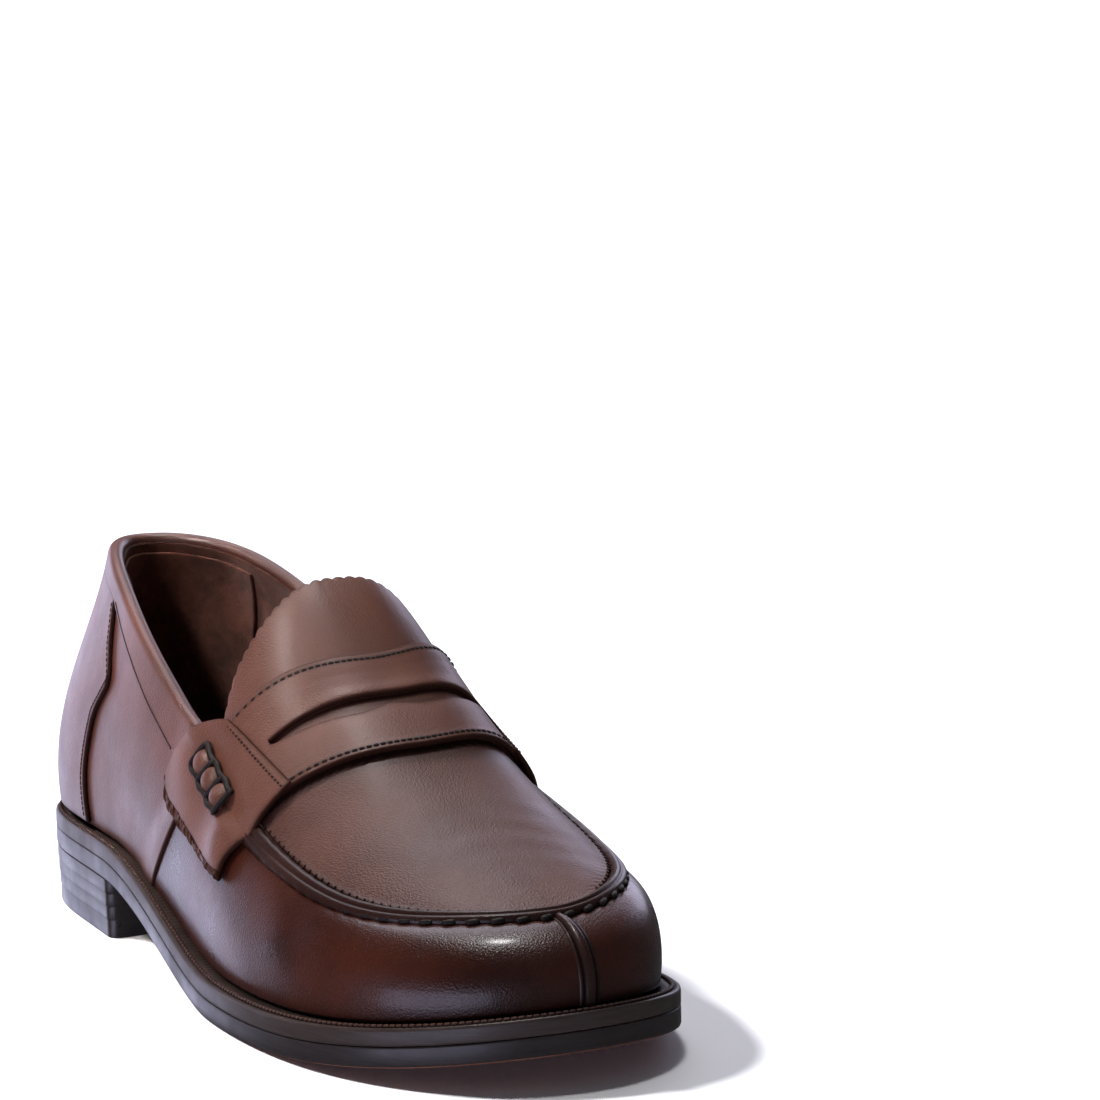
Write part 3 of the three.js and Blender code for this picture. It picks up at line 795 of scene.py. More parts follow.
def heel_outline(inset):
    """Sole edge behind the heel's breast, closed by the breast, with softened corners."""
    stations = np.linspace(-3.8, 3.8, 161)
    points = inset_edge(sole_edge, stations, inset)
    inside = points[points[:, 0] <= HEEL_BREAST_X]
    breast = np.linspace(inside[-1], inside[0], 24)[1:-1]
    corner = np.concatenate([inside, breast])
    for _ in range(2):
        corner = (np.roll(corner, 1, 0) + 2 * corner + np.roll(corner, -1, 0)) / 4
    return corner


def heel_layer(bottom, top, inset, round_bottom=0.15):
    """Layer of the heel with rounded rims, filled at both faces."""
    profile = [(0.5, bottom), (0.06, bottom + 0.04), (0, bottom + round_bottom), (0, top - 0.12),
               (0.06, top - 0.04), (0.5, top)]
    count = 240
    rings = []
    for extra, level in profile:
        ring = heel_outline(inset + extra)
        closed = np.vstack([ring, ring[:1]])
        run = running_length(closed)
        even_run = np.linspace(0, run[-1], count, endpoint=False)
        even = np.stack([np.interp(even_run, run, closed[:, k]) for k in range(2)], 1)
        rings.append(np.column_stack([even, np.full(count, level)]))
    points = np.stack(rings, 1)
    parts = Parts().add(points, grid_quads(count, len(profile), closed=True))
    for column in (0, -1):
        parts.add_cap(points[:, column], steps=(0, 0.3, 0.65, 1))
    return parts


def build_heel():
    """Rubber top piece and leather lifts, each a little wider than the one under it."""
    gap = 0.02
    top_piece = heel_layer(0, HEEL_TOP_PIECE - gap, HEEL_INSET, 0.5)
    make_object("heel_rubber", top_piece, HEEL_EDGE, "heel_top_piece", below=RUBBER)
    pitch = (HEEL_LIFT - HEEL_TOP_PIECE) / HEEL_LIFTS
    for k in range(HEEL_LIFTS):
        bottom = HEEL_TOP_PIECE + k * pitch
        inset = HEEL_INSET * (1 - (k + 1) / (HEEL_LIFTS + 1))
        lift = heel_layer(bottom, bottom + pitch - gap, inset)
        make_object(f"heel_lift_leather_{k + 1}", lift, HEEL_EDGE, f"heel_lift_{k + 1}")


# ---- Upper walls ----
def seam_pucker(station, height):
    """Small dents beside each hand stitch, on the wall just under the apron seam."""
    wave = 0.5 + 0.5 * np.cos(2 * np.pi * arc_at(TOP_ARC, station) / HAND_PITCH)
    close = np.exp(-(((1 - height) / 0.09) ** 2)) * smooth(7.6, 9, from_heel(station))
    return -0.55 * wave * close


def build_vamp():
    """Two halves of the front wall, which meet at the toe, with a crease where the shoe bends."""
    for name, side in SIDES:
        u, v = grid(lines(330, 190, UPPER_THICK), lines(60, 50, UPPER_THICK))
        top_station = mix(seam_station(1.0), TOE, u)
        height = v * mix(TOP_SHARE, 0.94, smooth(7, 7.6, top_station))
        station = mix(seam_station(height), TOE - 0.004, u)
        bend = 0.25 * bell(station, 8.4, 0.35) * bell(height, 0.45, 0.3)
        crease = -0.4 * bell(station + 0.5 * height, 8.95, 0.25) * smooth(0.15, 0.6, height)
        depth = UPPER_MIDDLE + seam_pucker(station, height) + bend + crease
        # Darker towards the toe, and painted shadow along the foot of the wall next to the welt.
        toe_tone_and_welt_shadow = 0.22 * smooth(9.5, 11.5, station) + 0.35 * np.exp(-height / 0.05)
        sheet(f"vamp_{name}_leather", CALF_VAMP, f"vamp_{name}",
              wall, at_side(side, station), height, depth, UPPER_THICK, shade=toe_tone_and_welt_shadow, slot="vamp_leather")


def build_quarters():
    """Side panels, which meet at the heel and lap over the vamp."""
    for name, side in SIDES:
        u, v = grid(lines(260, 150, 2.2), lines(70, 80, 2.2))
        height = v * TOP_SHARE
        seam = seam_station(height) + 0.05
        station = mix(0.004, seam, u**1.3)
        lap = 0.85 * smooth(0.5, 0.12, seam - station)
        depth = UPPER_MIDDLE + lap - 0.35 * np.exp(-height / 0.03)
        # Painted shadow along the foot of the wall next to the welt.
        shade = 0.3 * np.exp(-height / 0.04)
        sheet(f"quarter_{name}_leather", CALF, f"quarter_{name}",
              wall, at_side(side, station), height, depth, UPPER_THICK, shade=shade)


WALL_STITCH_LEVEL = 1.5


def wall_stitches(name, stations, heights, size):
    """Row of fine machine stitches along a line on the wall."""
    centres = wall(stations, heights, WALL_STITCH_LEVEL)
    ahead = wall(np.gradient(stations) * 0.1 + stations, np.gradient(heights) * 0.1 + heights,
                 WALL_STITCH_LEVEL)
    normals = wall_normal(stations, heights)
    stitch_row(name, centres, ahead - centres, normals, size)


def build_backstay():
    """Panel round the heel, widest at two thirds of its height, with a stitch row along both edges."""
    u, height = grid(lines(150, 90, TRIM_THICK), mix(0.02, 0.94, lines(80, 75, TRIM_THICK)))
    half = sum(np.interp(height + shift, *BACKSTAY_EDGE.T) for shift in (0, 0.04, -0.04)) / 3
    sheet("backstay_leather", CALF, "backstay",
          wall, mix(-half, half, u), height, BACKSTAY_MIDDLE, TRIM_THICK)
    heights = np.linspace(0.05, 0.9, 46)
    edge = np.interp(heights, *BACKSTAY_EDGE.T) - 0.07
    for name, sign in BOTH_SIDES:
        wall_stitches(f"backstay_stitches_{name}", sign * edge, heights, BACKSTAY_STITCH)


COLLAR_OUT, COLLAR_IN = 1.5, -3.3
COLLAR_END = 6.15


def build_collar():
    """Folded binding: up the outside, round the top edge and a little way down the inside."""
    stations = np.linspace(-COLLAR_END, COLLAR_END, 420)
    low = np.interp(np.abs(stations), *COLLAR_LOW.T)
    radius = (COLLAR_OUT - COLLAR_IN) / 2
    middle = (COLLAR_OUT + COLLAR_IN) / 2
    columns = []
    for share in (0, 0.004, 0.02, 0.06, 0.12, 0.2, 0.35, 0.5, 0.65, 0.8, 0.92):
        swell = 0.1 + (COLLAR_OUT - 0.1) * smooth(0, 0.06, share)
        columns.append(wall(stations, mix(low, TOP_SHARE, share), swell))
    crown = wall(stations, TOP_SHARE, middle)
    normal = wall_normal(stations, TOP_SHARE)
    up = unit(wall_point(stations, TOP_SHARE + 0.01) - wall_point(stations, TOP_SHARE - 0.01))
    for angle in np.linspace(0, np.pi, 13):
        columns.append(crown + normal * radius * np.cos(angle) + up * radius * 0.9 * np.sin(angle))
    hem = COLLAR_IN + 0.9
    for height, depth in ((0.97, COLLAR_IN), (0.93, COLLAR_IN), (0.9, hem), (0.895, hem), (0.9, -1.5)):
        columns.append(wall(stations, height, depth))
    columns.append(wall(stations, mix(low, TOP_SHARE, 0.5), 0.05))
    points = np.stack(columns + columns[:1], 1)
    shade = np.zeros(points.shape[:2])
    # Painted shadow line along the binding's lower edge, where it stands off the wall.
    shade[:, 0:2] = 0.6
    parts = Parts().add(points, shade=shade)
    make_object("collar_binding", parts, CALF, "collar_band")
    line = np.linspace(2.9, 5.5, 64)
    heights = np.interp(line, *COLLAR_LOW.T) + 0.018
    for name, sign in BOTH_SIDES:
        wall_stitches(f"collar_stitches_{name}", sign * line, heights, COLLAR_STITCH)


LINING_DEPTH, LINING_TOP_DEPTH = -5.2, -3.4
GRIP_END = 2.4
GRIP_THICK = 1.0
APRON_LINING_INSET = 6.5
APRON_LINING_DEPTH = -3.2


def lining_depth(station, height):
    """Slightly rumpled lining, which comes closer to the leather at the top edge."""
    rumple = 0.35 * np.sin(station * 5 + 2 * height) * np.sin(height * 9 + station)
    return mix(LINING_DEPTH, LINING_TOP_DEPTH, smooth(0.55, 0.9, height)) + rumple


def build_quarter_linings():
    """Linings of both side panels, which meet at the heel."""
    for name, side in SIDES:
        u, v = grid(lines(200, 150, LINING_THICK), lines(60, 80, LINING_THICK))
        height = mix(0.04, TOP_SHARE, v)
        station = mix(0.0, THROAT + 0.3, u**1.3)
        depth = lining_depth(station, height)
        sheet(f"quarter_lining_{name}_suede", SUEDE, f"quarter_lining_{name}",
              wall, at_side(side, station), height, depth, LINING_THICK, axes=(1,), slot="lining_suede")


def build_heel_grip():
    """Suede patch over the linings at the heel."""
    u, v = grid(lines(160, 150, LINING_THICK), lines(40, 60, LINING_THICK))
    station = mix(-GRIP_END, GRIP_END, u)
    height = mix(0.3, 0.95, v)
    depth = lining_depth(np.abs(station), height) - (LINING_THICK + GRIP_THICK) / 2
    sheet("heel_grip_suede", SUEDE, "heel_grip",
          wall, station, height, depth, GRIP_THICK, rim=0.1, slot="lining_suede")


def build_front_linings():
    """Lining of the vamp, in one piece round the toe, and of the apron."""
    u, v = grid(lines(200, 300, LINING_THICK), lines(40, 40, LINING_THICK))
    station = mix(THROAT + 0.1, LOOP - THROAT - 0.1, u)
    sheet("vamp_lining_suede", SUEDE, "vamp_lining",
          wall, station, mix(0.08, 0.9, v), LINING_DEPTH, LINING_THICK, slot="lining_suede")
    station, share = grid(mix(7.0, TOE, lines(100, 100, LINING_THICK)), lines(60, 80, LINING_THICK))
    surface = apron_surface(APRON_LINING_INSET)
    sheet("apron_lining_suede", SUEDE, "apron_lining",
          surface, station, share, APRON_LINING_DEPTH, LINING_THICK, slot="lining_suede")


# ---- Apron, its seam and the toe ----
APRON_START = 7.15
APRON_INSET = 2.4


def build_apron():
    """Top panel: puckered and lifted along the seam, with faint flexing creases across the toes."""
    station, share = grid(mix(APRON_START, TOE, lines(150, 100, UPPER_THICK)), lines(110, 85, UPPER_THICK))
    surface = apron_surface(APRON_INSET)
    flat = surface(station, share, np.zeros(station.shape))
    x, y = flat[..., 0], flat[..., 1]
    seam_gap = edge_distance(flat, axes=(1,))
    wave = 0.5 + 0.5 * np.cos(2 * np.pi * arc_at(TOP_ARC, station) / (HAND_PITCH / 2))
    pucker = -0.2 * wave * np.exp(-(((seam_gap - 2) / 1.8) ** 2)) * smooth(11.2, 10.6, station)
    lip = 0.7 * np.exp(-seam_gap / 1.5)
    flex = np.sin(x * 0.62 + 2.2 * np.sin(y * 0.06 + 0.6) + 0.02 * x * np.cos(y * 0.11))
    crease = 0.09 * flex * bell(x, 88, 17) * bell(y, 14, 24)
    dent = -0.12 * bell(x, 56, 7) * bell(y, 30, 12)
    depth = UPPER_MIDDLE + pucker + lip + crease + dent
    across = np.clip((y - mix(*SADDLE_OUTER_Y, 1.0)) / (SADDLE_INNER_Y[1] - SADDLE_OUTER_Y[1]), 0, 1)
    before_strap = x - mix(*STRAP_FRONT, (2 * across - 1) ** 2)
    # Painted shade beside the raised ridge, and the strap's painted shadow in a band in front of its front
    # edge.
    shade = np.maximum(0.45 * np.exp(-seam_gap / 2.5), EDGE_SHADE * smooth(1.6, 0.5, before_strap))
    sheet("apron_leather", CALF_APRON, "apron", surface, station, share, depth, UPPER_THICK, shade=shade)


SEAM_END = 7.4


def seam_point(station, inset, depth):
    plan = inset_edge(top_edge, station, inset)
    return roof(plan[..., 0], plan[..., 1], depth)


def ridge(station, p, q):
    """Section of the ridge, drawn in a little at each hand stitch."""
    wave = np.cos(2 * np.pi * arc_at(TOP_ARC, station) / HAND_PITCH)
    low = 1 - smooth(0.2, 1.8, q)
    squeeze = 1 - 0.12 * (0.5 + 0.5 * wave) * low
    return seam_point(station, 0.3 + p * squeeze, q)


def build_apron_ridge():
    """Rolled ridge round the apron."""
    stations = even_stations(TOP_ARC, SEAM_END, LOOP - SEAM_END, 0.5)
    section = [[-2.1, -0.9], [-2.3, 0.2], [-2.0, 1.3], [-1.2, 2.1], [-0.5, 2.2], [-0.15, 1.75], [0.1, 1.7],
               [0.4, 2.1], [1.0, 2.15], [1.7, 1.6], [2.1, 0.7], [2.0, -0.6]]
    parts = ring_parts(ridge, section, stations, closed=False, shade=0.35)
    make_object("apron_seam", parts, CALF_RIM, "apron_ridge")


def build_apron_stitches():
    """Hand stitches below the ridge and the short stitches inside it."""
    outer = even_stations(TOP_ARC, SEAM_END + 0.3, LOOP - SEAM_END - 0.3, HAND_PITCH)
    toe = smooth(9.0, 11.0, from_heel(outer))
    low = wall(outer - 0.08, mix(0.92, 0.914, toe), mix(0.3, 0.4, toe))
    high = wall(outer + 0.08, mix(0.948, 0.944, toe), mix(0.35, 0.5, toe))
    out = wall_normal(outer, 0.93)
    size = (4.4, mix(1.5, 2.0, toe), mix(1.3, 1.8, toe))
    stitch_row("apron_hand_stitches", (low + high) / 2, high - low, out, size, node="apron_stitching")
    inner = even_stations(TOP_ARC, SEAM_END + 0.1, LOOP - SEAM_END - 0.1, HAND_PITCH / 2)
    inner = inner[from_heel(inner) < 10.9]
    here = seam_point(inner, 2.9, 0.45)
    across = seam_point(inner, 4.0, 0.45) - here
    stitch_row("apron_inner_stitches", here, across, UP, APRON_STITCH)


def build_toe_strip():
    """Raised strip over the joint at the toe, with a groove along each side."""
    heights = np.linspace(0.005, 0.97, 90)
    widths = np.array([-3.1, -2.9, -2.3, -1.9, -1.4, -0.7, 0, 0.7, 1.4, 1.9, 2.3, 2.9, 3.1])
    lift = np.array([-0.6, 0.15, 0.35, 0.1, 0.85, 1.15, 1.25, 1.15, 0.85, 0.1, 0.35, 0.15, -0.6])
    middle = wall_point(TOE, heights)[:, None]
    normal = wall_normal(TOE, heights)[:, None]
    side = unit(wall_point(TOE + 0.02, heights)[:, None] - middle)
    reach = widths * mix(1.0, 0.72, smooth(0.5, 1.0, heights))[:, None]
    top = middle + side * reach[..., None] + normal * lift[None, :, None]
    under = middle + side * reach[:, ::-1, None] - normal * 0.8
    loop = np.concatenate([top, under, top[:, :1]], 1)
    shade = np.full(loop.shape[:2], 0.3)
    # Painted shade in the two grooves and, lighter, on their sloping sides; the rest of the strip a dark
    # tone.
    shade[:, [3, 9]] = 1
    shade[:, [2, 10, 4, 8]] = 0.6
    parts = Parts().add(loop, shade=shade)
    for row in (0, -1):
        parts.add_cap(loop[row, :-1], 0.5)
    make_object("toe_strip_leather", parts, CALF_RIM, "toe_seam_strip")


# ---- Saddle ----
STRAP_THICK = 1.8
STRAP_MIDDLE = 1.55
SLOT_START, SLOT_END = 0.115, 0.885
SLOT_REAR, SLOT_BOW, SLOT_WIDTH = 0.39, 0.13, 0.135
UNDERLAY_MIDDLE, UNDERLAY_THICK = 0.35, 0.9
# Name, place across the strap's width, and the strap's rise there.
STRAP_STITCH_ROWS = (("rear", 0.055, -0.35), ("front", 0.94, 0.25))
strap_surface = instep_band(STRAP_REAR, STRAP_FRONT)


def slot_reach(share):
    """Place along the slot, 0 at one end and 1 at the other."""
    return (share - SLOT_START) / (SLOT_END - SLOT_START)


def slot_lines(share):
    """Rear and front edges of the slot, as shares of the strap's width."""
    across = 2 * share - 1
    rear = SLOT_REAR + SLOT_BOW * across**2
    reach = slot_reach(share)
    inside = np.clip(4 * reach * (1 - reach), 0, 1)
    waist = 1 - 0.35 * bell(reach, 0.5, 0.09) + 0.12 * (bell(reach, 0.33, 0.09) + bell(reach, 0.67, 0.09))
    width = SLOT_WIDTH * np.where((reach > 0) & (reach < 1), inside**0.4, 0) * waist
    return rear, rear + width


def strap_distance(centre, count, open_slot):
    """Distance to the strap's rim or its slot; the first count lines of the grid lie behind the slot."""
    distance = edge_distance(centre, axes=(0,))
    for part, behind in ((slice(0, count), True), (slice(count, 2 * count), False)):
        steps = np.linalg.norm(np.diff(centre[:, part], axis=1), axis=2)
        run = np.concatenate([np.zeros((len(centre), 1)), np.cumsum(steps, 1)], 1)
        back = run[:, -1:] - run
        rim_side, slot_side = (run, back) if behind else (back, run)
        slot_side = np.where(open_slot[:, None], slot_side, np.inf)
        distance[:, part] = np.minimum(distance[:, part], np.minimum(rim_side, slot_side))
    return distance


def build_strap():
    """Strap across the instep: its lines follow both edges of the slot, which is left out between them."""
    share = np.unique(np.concatenate([mix(0.04, 0.96, lines(240, 95, STRAP_THICK)), [SLOT_START, SLOT_END]]))
    rear, front = slot_lines(share)
    half_lines = lines(22, 13, STRAP_THICK)
    rear_lines = rear[:, None] * half_lines
    front_lines = front[:, None] + (1 - front[:, None]) * half_lines
    along = np.concatenate([rear_lines, front_lines], 1)
    shares = np.broadcast_to(share[:, None], along.shape)
    count = len(half_lines)
    distance = strap_distance(strap_surface(shares, along, STRAP_MIDDLE), count, (front - rear) > 1e-6)
    reach = slot_reach(share)
    inside = smooth(0, 0.25, reach) * smooth(1, 0.75, reach)
    lip = 0.35 * bell(along, rear[:, None] - 0.04, 0.06) * inside[:, None]
    lip = lip - 0.3 * bell(along, front[:, None] + 0.02, 0.07) * inside[:, None]
    groove = -0.06 * (bell(along, 0.17, 0.02) + bell(along, 0.87, 0.02))
    droop = -0.35 * smooth(0.1, 0.0, along) + 0.25 * smooth(0.9, 1.0, along)
    droop = droop - 0.7 * smooth(0.8, 0.95, shares) * smooth(0.35, 0.0, along)
    depth = STRAP_MIDDLE + lip + groove + droop
    skip = np.zeros((along.shape[0] - 1, along.shape[1] - 1), bool)
    skip[:, count - 1] = True
    # Painted shade in the grooves along both stitch rows.
    rows = sum(0.45 * bell(along, at, 0.02) for _, at, _ in STRAP_STITCH_ROWS)
    sheet("saddle_strap_leather", CALF_SADDLE, "saddle_strap",
          strap_surface, shares, along, depth, STRAP_THICK, distance=distance, skip=skip, shade=rows)


def build_underlay():
    """Thin leather that shows through the slot."""
    a, b = grid(mix(0.06, 0.94, lines(160, 80, 1)), mix(0.08, 0.97, lines(40, 26, 1)))
    rear_under, _ = slot_lines(a)
    # Painted shadow under the slot's rear edge, where the strap stands above the underlay.
    shade = EDGE_SHADE * bell(b, rear_under + 0.01, 0.035)
    sheet("saddle_underlay_leather", CALF_SADDLE, "saddle_underlay",
          strap_surface, a, b, UNDERLAY_MIDDLE, UNDERLAY_THICK, shade=shade)


def build_strap_stitches():
    """Stitch rows along the strap's rear and front."""
    shares = np.linspace(0.05, 0.93, 42)
    for name, at, droop in STRAP_STITCH_ROWS:
        level = STRAP_MIDDLE + STRAP_THICK / 2 + droop * 0.6 - 0.05
        centres = strap_surface(shares, at, level)
        ahead = strap_surface(shares + 0.005, at, level) - centres
        normals = strap_surface(shares, at, level + 1) - centres
        stitch_row(f"strap_stitches_{name}", centres, ahead, normals, STRAP_STITCH)


FLAP_THICK = 1.8
FLAP_MIDDLE = 1.15
# Rear and front ends of the flap's seam with the strap, then the stations where it passes the top edge.
FLAP_SEAM_X = (6.5, 40.5)
FLAP_SEAM_Y = {1: (-28.2, -26.8), -1: (40.7, 39.6)}
FLAP_AT_EDGE = (5.98, 7.5)
# Lower edge of the flap on the wall: [place along it, station] and [place along it, height].
FLAP_LOW_STATION = np.array([[0, 5.4], [0.12, 5.5], [0.4, 5.98], [0.68, 6.5], [1, 7.12]])
FLAP_LOW_HEIGHT = np.array([[0, 0.58], [0.06, 0.49], [0.15, 0.465], [0.4, 0.45], [0.7, 0.465], [1, 0.5]])
FLAP_ON_ROOF = 0.24
RAW_BAND = 0.9


def flap_centre(side, along, reach, lift):
    """Middle surface of the saddle's end: reach runs from the strap's end over the top edge to the tip."""
    seam_x = mix(*FLAP_SEAM_X, along)
    seam_y = mix(*FLAP_SEAM_Y[side], along)
    edge_at = mix(*FLAP_AT_EDGE, along)
    low_at = np.interp(along, *FLAP_LOW_STATION.T)
    low_height = np.interp(along, *FLAP_LOW_HEIGHT.T)
    on_roof = np.clip(reach / FLAP_ON_ROOF, 0, 1)
    on_wall = np.clip((reach - FLAP_ON_ROOF) / (1 - FLAP_ON_ROOF), 0, 1)
    edge = top_edge(at_side(side, edge_at))
    x = mix(seam_x, edge[..., 0], on_roof)
    y = mix(seam_y, edge[..., 1], on_roof)
    roof_part = roof(x, y, lift)
    station = mix(edge_at, low_at, on_wall)
    height = mix(0.995, low_height, on_wall)
    wall_part = wall(at_side(side, station), height, lift)
    return np.where(np.asarray(reach < FLAP_ON_ROOF)[..., None], roof_part, wall_part)


def rough_patches(shape, seed):
    """Soft random patches between -1 and 1."""
    patches = np.random.default_rng(seed).normal(0, 1, shape)
    for axis, rounds in ((0, 4), (1, 8)):
        for _ in range(rounds):
            patches = patches + np.roll(patches, 1, axis)
    return np.clip(patches / (2 * patches.std()), -1, 1)


def build_flaps():
    """Saddle's ends on the walls: a fold at the front, a puffed rear, and a rough raw band at the tip."""
    band_lines = np.linspace(RAW_BAND - 0.015, RAW_BAND + 0.015, 9)
    for name, side in SIDES:
        reach_lines = np.unique(np.concatenate([lines(90, 42, FLAP_THICK), band_lines]))
        along, reach = grid(lines(130, 48, FLAP_THICK), reach_lines)
        fold_at = mix(0.78, 0.9, smooth(0.3, 0.9, reach))
        fold = 1.3 * bell(along, fold_at, 0.13) * smooth(0.3, 0.5, reach) * smooth(1.1, 0.7, reach)
        hollow = -0.3 * bell(along, fold_at - 0.28, 0.14) * smooth(0.35, 0.6, reach)
        puff = 0.7 * bell(reach, 0.55, 0.2) * bell(along, 0.18, 0.22)
        arch = 1.6 * bell(reach, 0.2, 0.14) * bell(along, 0.0, 0.16)
        under_roll = -0.5 * bell(reach, ROLL_REACH, 0.05)
        under_roll = under_roll * smooth(0.1, 0.25, along) * smooth(0.9, 0.75, along)
        over_strap = 1.25 * smooth(0.16 + 0.1 * along, 0.02 + 0.14 * along, reach)
        band = smooth(RAW_BAND - 0.005, RAW_BAND + 0.01, reach)
        rough = rough_patches(reach.shape, 11)
        swell = fold + hollow + puff + arch + under_roll + over_strap
        lift = FLAP_MIDDLE + swell - band * (0.35 - 0.3 * rough)
        centre = flap_centre(side, along, reach, lift)
        for _ in range(3):
            inner = centre[:, 1:-1]
            inner[:] = (centre[:, :-2] + 2 * inner + centre[:, 2:]) / 4
        edges = 0.9 * bell(reach, RAW_BAND, 0.008) + 0.5 * smooth(0.93, 1.0, along)
        shade = np.clip(edges + band * (0.6 + 0.4 * rough), 0, 1)
        parts = free_sheet_parts(centre, FLAP_THICK, shade=shade, flip=-side)
        make_object(f"saddle_flap_{name}_leather", parts, CALF_SADDLE, f"saddle_flap_{name}")
        build_flap_trim(name, side)
        build_beefroll(name, side)


def build_flap_trim(name, side):
    """Stitches where the saddle's end is sewn onto the strap."""
    along = np.linspace(0.04, 0.96, 22)
    reach, top = 0.04, 3.3
    centres = flap_centre(side, along, reach, top)
    ahead = flap_centre(side, along + 0.01, reach, top) - centres
    normals = flap_centre(side, along, reach, top + 1) - centres
    stitch_row(f"flap_end_stitches_{name}", centres, ahead, normals, FLAP_STITCH)


ROLL_START, ROLL_END = 0.21, 0.64
ROLL_REACH = 0.25
ROLL_LIFT = 2.3
ROLL_WIDE = (1.2, 3.7)
ROLL_TALL = (0.5, 2.8)
BINDING_OFFSET = 3.9
BINDING_RADIUS = 0.95
CROSS_RADIUS = 0.8
BULGES = 3


def roll_frame(side, share):
    """Middle line of the beefroll and its cross directions."""
    along = mix(ROLL_START, ROLL_END, share)

    def spot(step=0.0, back=0.0, rise=0.0):
        return flap_centre(side, along + step, ROLL_REACH - back, ROLL_LIFT + rise)

    centre = spot()
    ahead = unit(spot(0.02) - spot(-0.02))
    out = unit(spot(rise=1) + spot(back=0.12, rise=1) - spot(back=0.12) - centre)
    across = unit(np.cross(ahead, out))
    return centre, np.cross(across, ahead), across


def build_beefroll(name, side):
    """Gathered roll of three bulges, two side threads and the threads that cross between the bulges."""
    share = np.linspace(0, 1, 121)
    centre, out, across = roll_frame(side, share)
    swell = np.abs(np.sin(np.pi * share * BULGES)) ** 0.4
    wide = mix(*ROLL_WIDE, swell)
    tall = mix(*ROLL_TALL, swell)
    angle = np.linspace(0, 2 * np.pi, 33)
    body = (centre[:, None] + across[:, None] * (wide[:, None] * np.cos(angle))[..., None]
            + out[:, None] * (tall[:, None] * np.sin(angle) + 0.1)[..., None])
    # Painted shade in the pinched hollows between the bulges.
    parts = Parts().add(body, shade=(0.5 * (1 - swell))[:, None])
    make_object(f"beefroll_{name}_leather", parts, CALF_SADDLE, f"beefroll_{name}")

    threads = Parts()
    wobble = 0.35 * np.sin(share * np.pi * BULGES * 2)
    lift = 0.75 + 0.35 * np.abs(np.sin(share * np.pi * BULGES))
    for edge in (-1, 1):
        path = centre + across * (edge * (BINDING_OFFSET + wobble))[:, None] + out * lift[:, None]
        threads.join(cord_parts(path, BINDING_RADIUS))
    for k in range(BULGES + 1):
        spot = np.full(25, np.clip(k / BULGES, 0.01, 0.99))
        middle, rise, cross = roll_frame(side, spot)
        sweep = np.linspace(-1, 1, 25)
        path = (middle + cross * (sweep * (BINDING_OFFSET + 0.2))[:, None]
                + rise * (0.6 + 0.9 * np.sqrt(1 - sweep**4))[:, None])
        threads.join(cord_parts(path, CROSS_RADIUS))
    make_object(f"beefroll_threads_{name}", threads, THREAD)


# ---- Tongue ----
SCALLOP_PITCH = 3.8
SCALLOP = 0.75
TONGUE_THICK = 1.9
TONGUE_MIDDLE = -1.2
TONGUE_LINING_THICK = 1.0
TONGUE_LINING_MIDDLE = -2.9
TONGUE_LENGTH = 26
tongue_surface = instep_band(TONGUE_EDGE, TONGUE_BASE)


def build_tongue():
    """Tongue with its pinked edge."""
    share = mix(0.045, 0.955, lines(420, 110, TONGUE_THICK))
    a, b = grid(share, lines(60, TONGUE_LENGTH, TONGUE_THICK))
    arc = running_length(tongue_surface(share, 0.0, 0.0))
    bite = SCALLOP * (np.abs(np.sin(np.pi * arc / SCALLOP_PITCH)) ** 0.7 - 1)
    corner = (5.5 * smooth(0.16, 0.0, a) ** 2 + 4.0 * smooth(0.88, 1.0, a) ** 2) / TONGUE_LENGTH
    shifted = b + (corner - bite[:, None] / TONGUE_LENGTH) * (1 - b) ** 3
    curl = -0.8 * (1 - b) ** 3
    inner_rise = 1.3 * smooth(0.7, 0.97, a) * smooth(1.0, 0.75, b)
    return sheet("tongue_leather", CALF_SADDLE, "tongue",
                 tongue_surface, a, shifted, TONGUE_MIDDLE + curl + inner_rise, TONGUE_THICK, body=None)


def build_tongue_lining():
    """Lining under the tongue, a little smaller."""
    thick = TONGUE_LINING_THICK
    a, b = grid(mix(0.08, 0.92, lines(120, 90, thick)), mix(0.12, 0.98, lines(40, 22, thick)))
    depth = TONGUE_LINING_MIDDLE - 0.4 * (1 - b)
    return sheet("tongue_lining_suede", SUEDE, "tongue_lining",
                 tongue_surface, a, b, depth, thick, slot="lining_suede", body=None)


# ---- CAD nodes that stay, hidden inside the shoe ----
KEPT = {
    "insole_rib": BOARD, "insole": BOARD, "heel_counter": BOARD, "toe_puff": BOARD, "cork_filler": CORK,
    "shank": STEEL, **{f"heel_nail_{k}": STEEL for k in range(1, 6)},
}


def dress_kept_nodes():
    """Materials for the CAD meshes that stay as they are."""
    for name, material in KEPT.items():
        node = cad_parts[name]
        if not node.material_slots:
            node.data.materials.append(material)
        for slot in node.material_slots:
            slot.material = material


# ---- Camera, light and floor ----
# Azimuth, elevation and roll of the view, then azimuth and elevation of the camera from its target.
CAMERA_AIM = (60.081, 8.451, -0.967)
CAMERA_FROM = (63.094, 12.051)
CAMERA_DISTANCE = 1.253273
CAMERA_TARGET = np.array([0, 0.003, 0.04])
CAMERA_LENS = 143.86
SENSOR_WIDTH = 36
SHOE_MIDDLE = (0.0, 0.0, 0.05)
COLLAR_INSIDE = (-0.07, 0.02, 0.08)
FLOOR_REACH = 40
WORLD_COLOR = (0.9, 0.93, 1, 1)
WORLD_STRENGTH = 0.08
# Azimuth, elevation, strength and softness of the key light.
SUN = (-55, 48, 5.2, 8)
